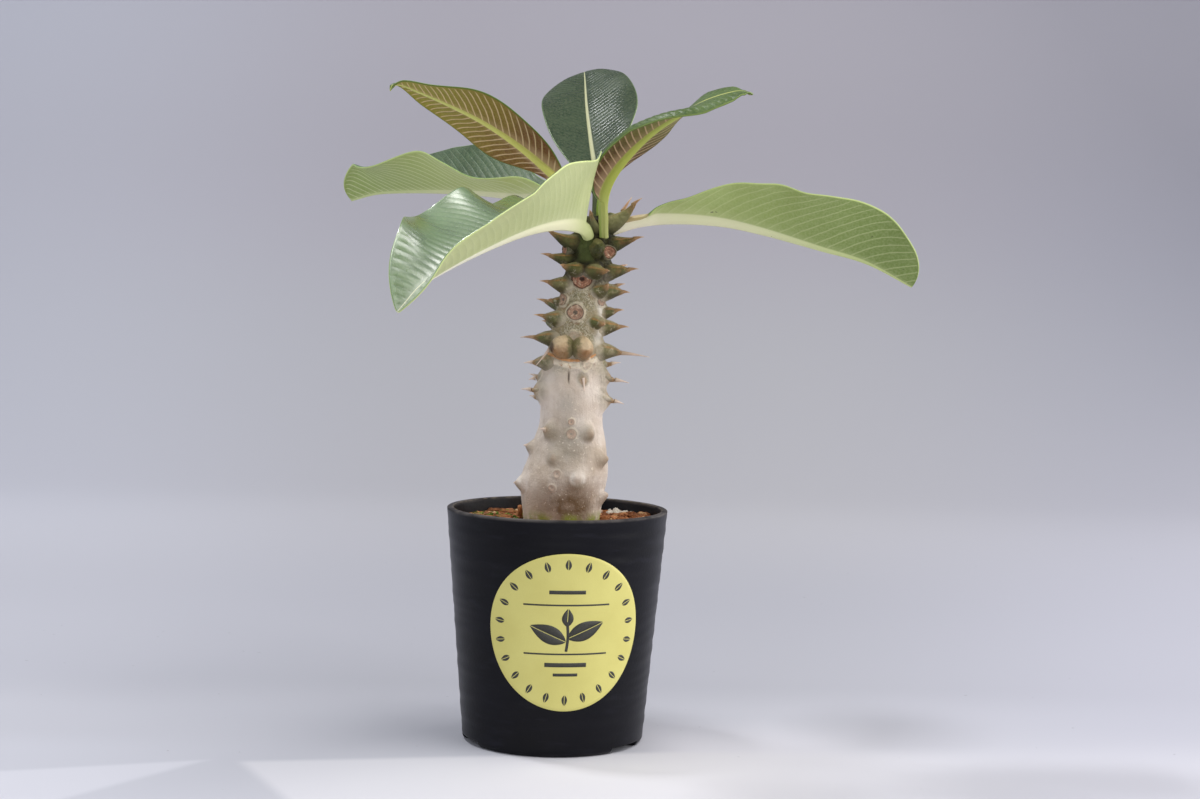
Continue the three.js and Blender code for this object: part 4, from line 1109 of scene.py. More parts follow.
def make_soil():
    """The mix's top and hidden plug, then bark and coir chips, fibres, white grains and moss on it."""
    turn = np.linspace(0, 2 * np.pi, 220, endpoint=False)
    reach = float(wall_radius(SOIL_LEVEL)) - WALL - 0.1
    rings = []
    for z, gap in ((FLOOR + 0.3, 3.2), (FLOOR + 3, 0.4), (50, 0.3), (SOIL_LEVEL - 1.5, 0.25)):
        r = float(wall_radius(z)) - WALL - gap
        rings.append(np.stack([r * np.cos(turn), r * np.sin(turn), z + 0 * turn], -1))
    for r in np.linspace(reach - 0.15, 9, 62):
        x = r * np.cos(turn)
        y = r * np.sin(turn)
        ground = np.stack([x, y, 0 * x], -1)
        crumbs = 0.75 * lumps(ground, 2.2, 11) + 0.45 * lumps(ground, 1.0, 12) + 0.8 * lumps(ground, 6, 13)
        rings.append(np.stack([x, y, soil_height(x, y) - 0.3 + crumbs], -1))
    points, faces = tube(np.array(rings))
    tone = 0.5 + 0.5 * lumps(points, 1.6, 14)
    coir = crumb_finish("coir_mix", (100, 60, 38), (204, 136, 92), (226, 180, 130))
    add_piece("potting_mix", points, faces, [coir], {"grain_tone": tone}, ["soil"], "soil_mix")

    rng = np.random.default_rng(41)

    def crumb(smallest, largest):
        return lambda: lump_shape(rng, rng.uniform(smallest, largest))

    chips, tones = scatter(rng, CHIPS, lambda: chip_shape(rng, rng.uniform(1.4, 5.2)), 16.6)
    strip, strip_faces = chip_shape(rng, 7)
    chips = join([chips, (strip[:, [2, 1, 0]] + (-15.6, 5, 93.6), strip_faces)])
    tones = np.append(tones, np.full(len(strip), 0.7))
    finish = crumb_finish("coir_chip", (126, 76, 46), (228, 158, 106), (240, 206, 158))
    add_piece("coir_chips", *chips, [finish], {"grain_tone": tones}, (), "soil_mix")
    fibres, tones = scatter(rng, FIBRES, lambda: fibre_shape(rng), 16.8)
    finish = crumb_finish("coir_fibre", (140, 80, 44), (222, 152, 98), (236, 206, 164))
    add_piece("coir_fibres", *fibres, [finish], {"grain_tone": tones}, (), "soil_mix")
    grains, tones = scatter(rng, WHITE_GRAINS, crumb(0.8, 2.3), 17.6, GRAINS_AT, 90)
    finish = crumb_finish("perlite", (216, 204, 186), (240, 232, 218), (248, 240, 226), 0.85)
    add_piece("white_grains", *grains, [finish], {"grain_tone": tones}, (), "soil_mix")
    moss, tones = scatter(rng, MOSS_TUFTS, crumb(0.4, 1.1), 16.4, MOSS_AT, 260)
    finish = crumb_finish("moss", (52, 74, 24), (112, 136, 48), (150, 160, 70))
    add_piece("moss_tufts", *moss, [finish], {"grain_tone": tones}, (), "soil_mix")


def scatter(rng, count, next_shape, clear, favour=None, spread=None):
    """Small shapes laid on the soil clear of the stem, thickest about favour, and a tone for each point."""
    shapes = []
    tones = []
    most = float(wall_radius(SOIL_LEVEL)) - WALL - 1.2
    for _ in range(count):
        points, faces = next_shape()
        size = float(np.abs(points[:, :2]).max())
        while True:
            r = math.sqrt(rng.uniform(0, 1)) * most
            a = rng.uniform(0, 2 * np.pi)
            x, y = r * math.cos(a), r * math.sin(a)
            if favour and rng.uniform() > math.exp(-(math.dist((x, y), favour) ** 2) / spread):
                continue
            if math.hypot(x - STEM_AT_SOIL, y) > clear + 0.4 * size and r + size < most + 0.9:
                break
        moved = points + (x, y, float(soil_height(x, y)) + 0.25)
        shapes.append((moved, faces))
        tones.append(np.full(len(points), rng.uniform()))
    return join(shapes), np.concatenate(tones)


def turned(rng, points, tilt):
    """The points after a random small tilt and a random turn about the upright."""
    spin = rng.uniform(0, 2 * np.pi)
    lean = rng.uniform(-tilt, tilt)
    points = points @ np.array(Matrix.Rotation(lean, 3, "X"))
    return points @ np.array(Matrix.Rotation(spin, 3, "Z"))


def chip_shape(rng, length):
    """A torn chip: an uneven block with worn ends."""
    width, thick = length * rng.uniform(0.3, 0.6), length * rng.uniform(0.18, 0.4)
    turn = np.linspace(0, 2 * np.pi, 9, endpoint=False)
    rings = []
    for t, full in ((-0.5, 0.5), (-0.42, 0.85), (-0.1, 1), (0.2, 0.92), (0.42, 0.8), (0.5, 0.4)):
        reach = full * (1 + 0.25 * rng.uniform(-1, 1, len(turn)))
        rings.append(np.stack([t * length + 0 * turn, reach * width / 2 * np.cos(turn),
                               reach * thick / 2 * np.sin(turn)], -1))
    points, faces = tube(np.array(rings))
    return turned(rng, points, 0.6), faces


def lump_shape(rng, size):
    """A rounded uneven crumb."""
    turn = np.linspace(0, 2 * np.pi, 9, endpoint=False)
    rings = []
    for lift in np.radians([-72, -36, 0, 36, 72]):
        reach = size * (1 + 0.2 * rng.uniform(-1, 1, len(turn)))
        rings.append(np.stack([reach * math.cos(lift) * np.cos(turn), reach * math.cos(lift) * np.sin(turn),
                               reach * 0.8 * math.sin(lift)], -1))
    points, faces = tube(np.array(rings))
    return turned(rng, points, 0.4), faces


def fibre_shape(rng):
    """A loose curved thread of coir."""
    length = rng.uniform(3, 8)
    bend = rng.uniform(-0.5, 0.5)
    turn = np.linspace(0, 2 * np.pi, 5, endpoint=False)
    rings = []
    for t in np.linspace(-0.5, 0.5, 8):
        thick = 0.16 * math.sqrt(1.02 - 4 * t * t)
        rings.append(np.stack([t * length + 0 * turn, bend * length * t * t + thick * np.cos(turn),
                               0.55 * math.cos(t * 3) + thick * np.sin(turn)], -1))
    points, faces = tube(np.array(rings))
    return turned(rng, points, 0.25), faces


# Leaves

def midrib_curve(points):
    """Places and headings on the curve through the midrib points, and how far along it each one is."""
    share = np.linspace(0, 1, 1200)
    places = np.stack([along(axis, share) for axis in np.transpose(points)], -1)
    run = np.concatenate([[0], np.cumsum(np.linalg.norm(np.diff(places, axis=0), axis=1))])
    return places, unit(np.gradient(places, run, axis=0)), run


def read_curve(curve, s):
    """Place and heading at each share s of the curve's length."""
    places, headings, run = curve
    at = s * run[-1]
    place = np.stack([np.interp(at, run, places[:, k]) for k in range(3)], -1)
    heading = np.stack([np.interp(at, run, headings[:, k]) for k in range(3)], -1)
    return place, unit(heading)


def blade_shape(leaf, u):
    """How much of its full width the blade has at each share u of its length."""
    inside = np.clip(u, 1e-6, 1 - 1e-6)
    rising = np.sin(np.pi / 2 * np.minimum(inside / leaf["widest"], 1)) ** leaf["base"]
    past_widest = np.clip((inside - leaf["widest"]) / (1 - leaf["widest"]), 0, 1)
    falling = np.cos(np.pi / 2 * past_widest) ** leaf["tip"]
    shape = np.where(inside < leaf["widest"], rising, falling)
    return np.where((u <= 0) | (u >= 1), 0, shape)


def leaf_half(leaf, half, sign, s, curve):
    """Upper and lower points of one half at each station, from the midrib outward, and their values."""
    u = (s - leaf["petiole"]) / (1 - leaf["petiole"])
    centre, forward = read_curve(curve, s)
    level = unit(np.cross(np.array(leaf["up"], float), forward))
    upright = np.cross(forward, level)
    roll = np.radians(along(leaf["roll"], u))[:, None]
    side = level * np.cos(roll) + upright * np.sin(roll)
    top = upright * np.cos(roll) - level * np.sin(roll)
    neck = leaf.get("neck", 1)
    rib = (leaf["stalk"] * (1 - s) ** leaf["slim"] + 0.3) * (neck + (1 - neck) * smooth(s / 0.1))
    rib_depth = 1.15 * rib * (1 - 0.45 * s)
    crown = 0.55 * rib * (1 - smooth(u / 0.15))
    shape = blade_shape(leaf, u) * np.clip(u / half.get("ramp", 0.001), 0, 1) ** 0.75
    shape = shape * (1 + half.get("flare", 0) * np.exp(-(((u - 0.08) / 0.07) ** 2)))
    width = np.hypot(rib, half["half"] * shape)
    fold = np.radians(along(half["fold"], u)) * smooth(u / 0.08 + half.get("open", 0.4))
    height, count, start = half["wave"]
    ripple = height * np.sin(2 * np.pi * (count * u + start))
    creases = np.sin(2 * np.pi * (5.7 * u + 0.3 * sign)) * (0.5 + 0.5 * np.sin(2 * np.pi * (2.3 * u + 0.2)))
    ripple = (ripple + leaf.get("crimp", 0) * creases) * smooth(u * 5) * smooth((1 - u) * 5)
    ridge = np.minimum(0.5, rib / width)
    edge = np.minimum(0.25, 0.7 / width)

    rib_steps = np.linspace(0, 1, 7)
    blade_steps = np.linspace(0, 1, 21)[1:]
    edge_steps = np.sin(np.linspace(0, np.pi / 2, 6))[1:]
    t = np.concatenate([
        ridge[:, None] * np.sin(rib_steps * np.pi / 2)[None],
        ridge[:, None] + (1 - edge - ridge)[:, None] * blade_steps[None],
        (1 - edge)[:, None] + edge[:, None] * edge_steps[None],
    ], 1)
    t = np.minimum(t, 1)
    x = width[:, None] * t
    curl = np.radians(along(half["curl"], u))[:, None] * smooth((t - 0.55) / 0.45)
    fold = fold[:, None]
    lean = fold - curl
    run = np.diff(x, axis=1, prepend=0)
    out = np.cumsum(run * np.cos(lean), axis=1) - ripple[:, None] * t**2 * np.sin(fold)
    lift = np.cumsum(run * np.sin(lean), axis=1) + ripple[:, None] * t**2 * np.cos(fold)
    tilt = np.where(t == 0, 0, lean * smooth(x / (rib[:, None] + 0.6)))
    normal = top[:, None] * np.cos(tilt)[..., None] - sign * side[:, None] * np.sin(tilt)[..., None]

    blade_length = curve[2][-1] * (1 - leaf["petiole"])
    vein_run = leaf["veins"] * (u[:, None] - (leaf["lean"] * x + 0.011 * x**2) / blade_length) + 0.27 * sign
    off_vein = np.abs(vein_run - np.round(vein_run))
    groove = np.exp(-((off_vein / 0.17) ** 2))
    calm = smooth((x - rib[:, None]) / 2.5) * smooth((width[:, None] - x) / 3.5) * smooth(u[:, None] * 14)
    relief = leaf["relief"] * (1 - 1.6 * groove) * calm

    surface = centre[:, None] + sign * side[:, None] * out[..., None] + top[:, None] * lift[..., None]
    past = np.clip(1 - (width[:, None] - x) / 0.7, 0, 1)
    thick = np.sqrt(np.clip(1 - past**2, 0.02, 1))
    inset = BLADE / 2 * (1 - thick)
    upper = surface + normal * (relief - inset)[..., None]
    upper = upper + top[:, None] * (crown[:, None] * np.sqrt(np.clip(1 - t**2, 0, 1)))[..., None]
    vein_ridge = 0.45 * leaf["relief"] * groove * calm
    depth = rib_depth[:, None] * np.sqrt(np.clip(1 - (x / rib[:, None]) ** 2, 0, 1))
    lower = surface + normal * (relief * 0.7 - vein_ridge - BLADE + inset)[..., None]
    lower = lower - top[:, None] * depth[..., None]
    values = {
        "vein_run": vein_run,
        "rib_share": x / rib[:, None],
        "edge_mm": np.where(u[:, None] > 0.01, width[:, None] - x, 9),
        "blade_run": np.clip(u[:, None], 0, 1) + 0 * x,
        "stalk_run": s[:, None] + 0 * x,
    }
    return upper, lower, values


def make_leaf(name, upper_finish, lower_finish, slot, stations=LEAF_STATIONS):
    """One leaf as a closed body, its stations closer together where the blade starts and ends."""
    leaf = LEAVES[name]
    curve = midrib_curve(leaf["midrib"])
    stalk = np.linspace(0, leaf["petiole"], 24)
    start = leaf["petiole"] + np.array([0.0006, 0.0016, 0.003])
    share = np.linspace(0, 1, stations)
    eased = 0.75 * share + 0.25 * (0.5 - 0.5 * np.cos(np.pi * share))
    blade = leaf["petiole"] + (1 - leaf["petiole"]) * eased
    s = np.unique(np.concatenate([stalk, start, blade, [0.996, 0.9985]]))
    s = np.minimum(s, 0.9996)
    left_up, left_low, left_values = leaf_half(leaf, leaf["left"], 1, s, curve)
    right_up, right_low, right_values = leaf_half(leaf, leaf["right"], -1, s, curve)
    rings = np.concatenate([left_up[:, ::-1], right_up[:, 1:], right_low[:, ::-1], left_low[:, 1:]], 1)
    points, faces = tube(rings)
    values = {}
    for key in left_values:
        l, r = left_values[key], right_values[key]
        ring = np.concatenate([l[:, ::-1], r[:, 1:], r[:, ::-1], l[:, 1:]], 1)
        values[key] = np.append(ring.ravel(), [ring[0].mean(), ring[-1].mean()])
    columns = rings.shape[1]
    upper_columns = left_up.shape[1] + right_up.shape[1] - 1
    which = [int(f[0] % columns >= upper_columns - 1) if len(f) == 4 else 1 for f in faces]
    finishes = [upper_finish, lower_finish]
    add_piece("fine_" + name, points, faces, finishes, values, [name], slot, which)


# Stem

def stem_at(z):
    """Place and radius of the bark at each height, eased between the table's rows."""
    z = np.asarray(z, float)
    x = np.interp(z, STEM[:, 0], STEM[:, 1])
    r = np.interp(z, STEM[:, 0], STEM[:, 2])
    for step in (-2.5, 2.5):
        x = x + np.interp(z + step, STEM[:, 0], STEM[:, 1])
        r = r + np.interp(z + step, STEM[:, 0], STEM[:, 2])
    return x / 3, r / 3


def on_stem(z, azimuth, reach):
    """A place at this height, in this direction and this far from the stem's middle."""
    a = math.radians(azimuth)
    return np.array([float(stem_at(z)[0]) + reach * math.cos(a), reach * math.sin(a), z])


def back_spines():
    """The spines and scars of the side that the front table doesn't cover, in the same form."""
    spines = []
    scars = []
    index = 0
    while SPIRAL_TOP - SPIRAL_STEP * index > SPIRAL_END:
        z = SPIRAL_TOP - SPIRAL_STEP * index
        azimuth = (SPIRAL_START + SPIRAL_TURN * index + 7 * jitter(index, 1) + 180) % 360 - 180
        young = math.exp(-index / 2.5)
        if BACK_FROM + 8 < azimuth < BACK_TO - 8 and index > 2:
            scars.append((z - 3.5, azimuth, 3.1, math.exp(-index / 12)))
        for k, side in enumerate((-1, 1)):
            reach = (SPINE_REACH + 2.6 * jitter(index, 4 + k)) * (1 - 0.3 * young)
            rise = SPINE_RISE + YOUNG_RISE * young + 1.6 * jitter(index, 6 + k)
            base = azimuth + side * PAIR_ROOT_ANGLE
            if BACK_FROM < base < BACK_TO and index > 1:
                tip = azimuth + side * (PAIR_ANGLE + 4 * jitter(index, 2 + k))
                spines.append((z, base, 4.2, z + rise, tip, reach, 0.68, 1))
        index += 1
    for i in range(WART_COUNT):
        z = WART_TOP - WART_STEP * i
        for side in (-1, 1):
            azimuth = (-90 + SPIRAL_TURN * i + side * WART_PAIR_ANGLE + 180) % 360 - 180
            if BACK_FROM - 15 < azimuth < BACK_TO + 15:
                spines.append((z, azimuth, 4.6, z, azimuth, float(stem_at(z)[1]) + 2.6, 1.0, 0))
    return spines, scars


def raise_spines(smooth_bark, spines):
    """How spines pull the bark out, the values that colour it there, the horny bodies and the needles."""
    pull = np.zeros_like(smooth_bark)
    weight, cushion, gap, under = np.zeros((4, *smooth_bark.shape[:2]))
    bodies = []
    needles = []
    for level, azimuth, base, tip_z, tip_azimuth, reach, soft, sharp in spines:
        middle, radius = (float(v) for v in stem_at(level))
        place = on_stem(level, azimuth, radius)
        tip = on_stem(tip_z, tip_azimuth, reach)
        tip[0] += (middle - float(stem_at(min(tip_z, STEM[-1, 0]))[0])) * 0.5
        away = tip - place
        length = np.linalg.norm(away)
        horned = level > (HORN_FROM if sharp else BLUNT_HORN_FROM)
        worn = horned and level < BLUNT_HORN_FROM
        tall = soft * length * (WORN_RISE if worn else HORNED_RISE if horned else 1)
        spread = np.linalg.norm((smooth_bark - place) * (1, 1, 0.92), axis=-1)
        q = np.clip(spread / (base * (WORN_SPREAD if worn else 1)), 0, 1)
        dome = 1 - smooth(q * 0.98)
        cone = (1 - q) ** 1.15
        shape = np.where(q < 1, (0.45 * dome + 0.55 * cone) if sharp else 0.85 * dome + 0.15 * cone, 0)
        raised = tall * shape
        pull += (away / length) * (raised**2)[..., None]
        weight += raised
        cushion = np.maximum(cushion, shape * (0.4 if horned and not worn else 1))
        # Painted shade under each of the lower warts.
        if level < HORN_FROM:
            below = np.clip(0.3 + 1.3 * (level - smooth_bark[..., 2]) / base, 0, 1)
            under = np.maximum(under, below * smooth(1.6 * (1 - q)))
        # A ring about each horny cushion, where the bark's finish paints shade high up.
        if horned:
            gap = np.maximum(gap, np.exp(-(((spread / base - 0.8) / 0.3) ** 2)))
            facing = unit(place - (middle, 0, level))
            slender = 0.95 + 0.4 * float(smooth((level - 188) / 14))
            root = place - WORN_SUNK * facing if worn else place
            width = base * (WORN_WIDTH if worn else 1)
            bodies.append((*horn(root, facing, tip, width, soft, sharp, slender), 1 - sharp))
        if sharp:
            needle_root = place + away * soft * (0.93 if horned else 0.72)
            needles.append((needle_root, tip, NEEDLE_RADIUS, NEEDLE_SAG))
    moved = pull / np.maximum(weight, 1e-6)[..., None]
    return moved, {"cushion": cushion, "gap": gap, "under": under}, bodies, needles


def raise_scars(smooth_bark, bark, outward, moved, scars):
    """The bark's moves with the leaf scars added, how far in each scar a point is, and how fresh it is."""
    disc, fresh = np.zeros((2, *bark.shape[:2]))
    for level, azimuth, size, freshness in scars:
        place = on_stem(level, azimuth, float(stem_at(level)[1]))
        q = np.linalg.norm(smooth_bark - place, axis=-1) / size
        uneven = q * (1 + 0.12 * lumps(bark, 2.0, 31))
        share = np.clip(1.45 - uneven, 0, 1.45) / 1.45
        fresh = np.where(share > disc, freshness, fresh)
        disc = np.maximum(disc, share)
        collar = 0.75 * np.exp(-(((uneven - 0.95) / 0.2) ** 2)) + 0.35 * (uneven < 0.85)
        dip = 0.5 * np.exp(-((uneven / 0.28) ** 2))
        moved = moved * (1 - 0.75 * smooth((1.25 - q) * 3))[..., None]
        moved += outward * ((collar - dip) * (0.4 + 0.6 * freshness))[..., None]
    return moved, {"scar": disc, "scar_fresh": fresh}


def raise_front(smooth_bark, bark, outward):
    """How far the slit, the stalk's foot and the two lips stand out on the front, and where each one is."""
    x, y, z = np.moveaxis(smooth_bark, -1, 0)
    level, azimuth, reach, half_width, half_height = SLIT
    slit = (x - on_stem(level, azimuth, reach)[0]) / half_width
    slit = np.exp(-(slit**2) - ((z - level) / half_height) ** 4) * (y < 0)
    on_front = outward[..., 1] < -0.1
    foot_x, foot_half, foot_low, foot_high = STALK_FOOT
    foot = np.exp(-(((x - foot_x) / foot_half) ** 4)) * on_front
    foot = foot * smooth((z - foot_low) / 2.5) * smooth((foot_high - z) / 3)
    aside = x - LIP_MIDDLE
    crumbly = smooth((11 - np.abs(aside)) / 3) * on_front * (0.7 + 0.3 * lumps(bark, 1.1, 28))
    upper, lower = (crumbly * np.exp(-(((z - height - LIP_RISE * aside**2) / thick) ** 2))
                    for height, thick in LIPS)
    lift = 1.7 * foot + 1.3 * (upper + lower) - 0.7 * slit
    return lift, {"slit": slit, "stalk_foot": foot, "upper_lip": upper, "lower_lip": lower}


def bark_tones(angle, z):
    """Where the bark is brown low down, the bark's own brown with painted shade under the bulge, grey at
    two heights and bright at the right of the front.
    """
    def near(value, middle, reach, power=2):
        return np.exp(-(((value - middle) / reach) ** power))

    front = near(angle, -94, 34)
    return {
        "brown_shade_low": np.clip(near(z, 98, 10) * (0.1 + 1.1 * near(angle, -76, 42)), 0, 1),
        "grey_patch": near(z, 124, 10) * (0.2 + 0.8 * front) + 0.6 * near(z, 141, 4.5) * front**2,
        "bright_cork": near(angle, -34, 15) * near(z, 175, 13, 4),
    }


def make_stem():
    """The bark with its spine cushions, warts and leaf scars raised from it, then the needles."""
    more_spines, more_scars = back_spines()
    z = np.linspace(STEM[0, 0], STEM[-1, 0], STEM_ROWS)[:, None]
    turn = np.linspace(0, 2 * np.pi, STEM_COLUMNS, endpoint=False)[None]
    x, r = stem_at(z)
    outward = np.stack([np.cos(turn) + 0 * z, np.sin(turn) + 0 * z, 0 * turn + 0 * z], -1)
    smooth_bark = np.stack([x + r * np.cos(turn), r * np.sin(turn), z + 0 * turn], -1)
    unevenness = 0.3 * lumps(smooth_bark, 9, 21) + 0.12 * lumps(smooth_bark, 3.2, 22)
    high = smooth((z - 150) / 25)
    corky = 0.3 * np.abs(lumps(smooth_bark * (1, 1, 0.7), 1.6, 23)) * high
    corky = corky + 0.05 * lumps(smooth_bark, 0.9, 24)
    bark = smooth_bark + outward * (unevenness + corky)[..., None]

    moved, values, bodies, needles = raise_spines(smooth_bark, FRONT_SPINES + more_spines)
    moved, on_scars = raise_scars(smooth_bark, bark, outward, moved, FRONT_SCARS + more_scars)
    lift, on_front = raise_front(smooth_bark, bark, outward)
    moved += outward * lift[..., None]
    values |= on_scars | on_front | bark_tones(np.degrees(turn) - 360 * (turn > np.pi), z)
    values |= {key: np.zeros(bark.shape[:2]) for key in ("horn_run", "horn_side", "blunt")}
    values = {key: np.append(value.ravel(), [0, 0]) for key, value in values.items()}
    shapes = [tube(bark + moved)]

    def stand_on_bark(shape, known):
        """Add a body to the bark, with the values known for it and 0 for all others."""
        shapes.append(shape)
        for key in values:
            values[key] = np.append(values[key], np.zeros(len(shape[0])) + known.get(key, 0))

    for body, run, side, blunt in bodies:
        known = {"cushion": 1, "horn_run": run, "horn_side": side, "blunt": blunt}
        # The end of the left blunt horn is painted dark as a hole: painted shade.
        if blunt and body[0][:, 0].mean() < LIP_MIDDLE:
            known["slit"] = run > 0.93
        stand_on_bark(body, known)
    for place, facing, size in FLANK_SCARS:
        cap, share = scar_cap(np.array(place), unit(np.array(facing, float)), size)
        stand_on_bark(cap, {"scar": share, "scar_fresh": 1})
    points, faces = join(shapes)
    add_piece("stem_bark", points, faces, [bark_finish()], values, ["trunk"], "bark")

    add_needles("spine_tips", needles, colour_from=0.0)
    hanging = [(on_stem(*root), on_stem(*tip), HANGING_RADIUS, HANGING_SAG)
               for root, tip in HANGING_NEEDLES]
    add_needles("dead_needles", hanging, colour_from=0.55)


def scar_cap(place, facing, size, sides=28):
    """A fresh leaf scar that stands on a spine's flank, and its scar value at each point."""
    side = unit(np.cross([0.0, 0.0, 1.0], facing))
    top = np.cross(facing, side)
    turn = np.linspace(0, 2 * np.pi, sides, endpoint=False)
    rings = []
    shares = []
    for reach, lift in ((1.25, -3), (1.2, 0), (1.0, 0.6), (0.85, 0.35), (0.55, 0.3), (0.3, 0.1), (0.05, 0)):
        uneven = size * reach * (1 + 0.08 * np.sin(3 * turn + 1))
        ring = np.outer(uneven * np.cos(turn), side) + np.outer(uneven * np.sin(turn), top)
        rings.append(place + lift * facing + ring)
        shares += [min(1.45 - reach, 1) / 1.45] * sides
    return tube(np.array(rings)), np.array(shares + [0, shares[-1]])


def horn(place, facing, tip, base, soft, sharp, slender, sides=20, rows=18):
    """The horny cushion of one spine: it swells from the bark and draws out to the foot of its needle."""
    away = tip - place
    root = place - facing * 1.6
    end = place + away * soft
    bend = place + facing * (0.4 * soft * np.linalg.norm(away)) + np.array([0, 0, 0.1 * base])
    t = np.linspace(0, 1, rows)[:, None]
    centre = (1 - t) ** 2 * root + 2 * t * (1 - t) * bend + t**2 * end
    ahead = unit(np.gradient(centre, axis=0))
    side = unit(np.cross([0.0, 0.0, 1.0], ahead))
    top = np.cross(ahead, side)
    turn = np.linspace(0, 2 * np.pi, sides, endpoint=False)
    belly = (1 - t) ** slender + 0.07 * np.sin(np.pi * t)
    end_radius = HORN_END if sharp else BLUNT_HORN_END
    radius = end_radius + (0.95 * base - end_radius) * belly
    if not sharp:
        radius = radius * np.sqrt(np.clip(1.03 - np.clip((t - 0.6) / 0.4, 0, 1) ** 2, 0, 1))
    radius = radius[..., None]
    wide, over, under = (1, 0.72, 1.04) if sharp else (0.85, 1.12, 1.12)
    across = wide * np.cos(turn)[None, :, None] * (1 + 0.1 * np.cos(2 * turn))[None, :, None]
    upward = np.where(np.sin(turn) > 0, over, under)[None, :, None] * np.sin(turn)[None, :, None]
    rings = centre[:, None] + radius * (across * side[:, None] + upward * top[:, None])
    rings = rings + 0.16 * lumps(rings, 1.7, 27)[..., None] * top[:, None] * (1 - t)[..., None]
    body = tube(rings)
    run = np.append(np.repeat(t.ravel(), sides), [0, 1])
    # How far each point faces up: the bark's finish draws the ridge from it and paints light on top and
    # shade below.
    lit = np.append(np.tile(np.sin(turn), rows), [0, 0])
    return body, run, lit


def needle(root, tip, thick, sag, sides=8, rows=12):
    """A thin tapering spine with a slight bend, and how far along it each point is."""
    axis = tip - root
    side = unit(np.cross([0, 0, 1], axis))
    top = unit(np.cross(axis, side))
    turn = np.linspace(0, 2 * np.pi, sides, endpoint=False)
    rings = []
    for t in np.linspace(0, 1, rows):
        centre = root + axis * t + np.array([0, 0, sag * (t * t - t)])
        radius = thick * ((1 - t) ** 1.25) + 0.1
        rings.append(centre + radius * (np.outer(np.cos(turn), side) + np.outer(np.sin(turn), top)))
    points, faces = tube(np.array(rings))
    run = np.append(np.repeat(np.linspace(0, 1, rows), sides), [0, 1])
    return (points, faces), run


def add_needles(name, needles, colour_from):
    """A piece made of needles, whose colour starts this far along a whole spine."""
    made = [needle(*each) for each in needles]
    points, faces = join([body for body, run in made])
    run = colour_from + (1 - colour_from) * np.concatenate([run for body, run in made])
    add_piece(name, points, faces, [needle_finish()], {"needle_run": run}, (), "bark")


set_camera()
set_stage()
set_light()
make_pot()
make_label()
make_label_print()
make_soil()
make_stem()

mature_upper = leaf_finish(
    "leaf_upper", True, blade=(42, 68, 38), shade=(54, 80, 46), vein=(98, 124, 86),
    rib=(200, 200, 152), rib_foot=(196, 168, 118), edge=(120, 150, 84), roughness=0.3,
    vein_strength=0.3, Specular_IOR_Level=0.6)
shaded_upper = leaf_finish(
    "leaf_upper_back", True, blade=(34, 52, 32), shade=(44, 62, 39), vein=(76, 94, 70),
    rib=(184, 184, 144), rib_foot=(64, 72, 38), edge=(84, 104, 66), roughness=0.27, vein_strength=0.35,
    foot=(0.27, 0.36), Specular_IOR_Level=0.26)
pale_upper = leaf_finish(
    "leaf_upper_pale", True, blade=(88, 118, 66), shade=(102, 134, 76), vein=(66, 94, 48),
    rib=(200, 204, 150), rib_foot=(120, 140, 70), edge=(110, 144, 70), roughness=0.28,
    vein_strength=0.22, Specular_IOR_Level=1.0, Coat_Weight=1.0, Coat_Roughness=0.25, Coat_IOR=2.15)
matt_upper = leaf_finish(
    "leaf_upper_matt", True, blade=(50, 74, 44), shade=(62, 88, 54), vein=(92, 116, 82),
    rib=(200, 200, 152), rib_foot=(196, 168, 118), edge=(120, 150, 84), roughness=0.46,
    vein_strength=0.3, Specular_IOR_Level=0.4)
mature_lower = leaf_finish(
    "leaf_lower", False, blade=(164, 182, 102), shade=(170, 188, 110), vein=(206, 214, 154),
    rib=(236, 236, 190), rib_foot=(252, 244, 214), edge=(190, 206, 128), roughness=0.5,
    vein_strength=0.42, tip_blade=(118, 140, 64), tip_rib=(200, 212, 142), vein_width=0.13, spots=0.6)
side_lower = leaf_finish(
    "leaf_lower_side", False, blade=(190, 203, 122), shade=(194, 206, 128), vein=(222, 228, 170),
    rib=(232, 232, 186), rib_foot=(234, 228, 182), edge=(196, 212, 134), roughness=0.5,
    vein_strength=0.7, tip_blade=(150, 170, 88), tip_rib=(206, 216, 150))
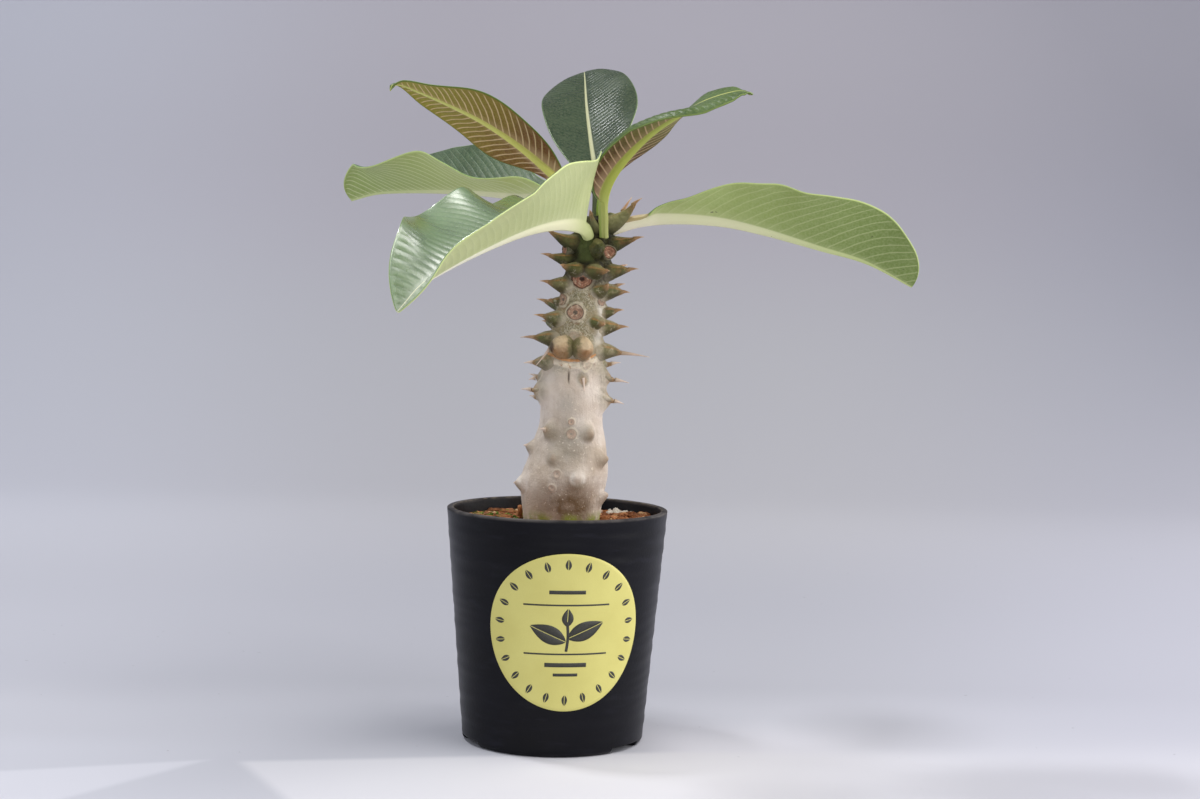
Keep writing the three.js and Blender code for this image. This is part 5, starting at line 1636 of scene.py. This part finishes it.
pale_lower = leaf_finish(
    "leaf_lower_pale", False, blade=(184, 194, 132), shade=(192, 200, 140), vein=(206, 212, 162),
    rib=(232, 230, 190), rib_foot=(200, 208, 140), edge=(206, 218, 144), roughness=0.52,
    vein_strength=0.25, tip_rib=(236, 234, 212))
young_upper = leaf_finish(
    "young_leaf_upper", True, blade=(62, 86, 38), shade=(76, 100, 50), vein=(104, 122, 76),
    rib=(186, 190, 110), rib_foot=(150, 164, 86), edge=(120, 138, 70), roughness=0.42,
    vein_strength=0.3, Specular_IOR_Level=0.3)
young_lower = leaf_finish(
    "young_leaf_lower", False, blade=(112, 58, 38), shade=(124, 82, 36), vein=(236, 206, 158),
    rib=(222, 218, 116), rib_foot=(190, 200, 100), edge=(96, 116, 48), roughness=0.55,
    vein_strength=0.8, tip_blade=(152, 142, 54), tip_rib=(214, 216, 126), vein_width=0.17,
    Specular_IOR_Level=0.25)
# A darker copy of the young leaf's lower face: painted shade for leaf_c.
shaded_young_lower = leaf_finish(
    "young_leaf_lower_dark", False, blade=(74, 36, 24), shade=(86, 50, 28), vein=(204, 172, 136),
    rib=(178, 186, 86), rib_foot=(174, 178, 108), edge=(84, 104, 42), roughness=0.55,
    vein_strength=0.75, tip_blade=(128, 136, 70), tip_rib=(176, 188, 104), vein_width=0.16,
    Specular_IOR_Level=0.25)
bud_green = leaf_finish(
    "bud_green", False, blade=(122, 156, 52), shade=(140, 170, 66), vein=(180, 200, 110),
    rib=(186, 204, 110), rib_foot=(176, 190, 96), edge=(150, 176, 70), roughness=0.45, vein_strength=0.3)
make_leaf("leaf_a", young_upper, young_lower, "young_leaf")
make_leaf("leaf_b", shaded_upper, mature_lower, "mature_leaf")
make_leaf("leaf_c", young_upper, shaded_young_lower, "young_leaf")
make_leaf("leaf_d", mature_upper, mature_lower, "mature_leaf")
make_leaf("leaf_e", pale_upper, pale_lower, "mature_leaf")
make_leaf("leaf_f", matt_upper, side_lower, "mature_leaf")
make_leaf("leaf_bud", bud_green, bud_green, "bud_leaf", BUD_STATIONS)
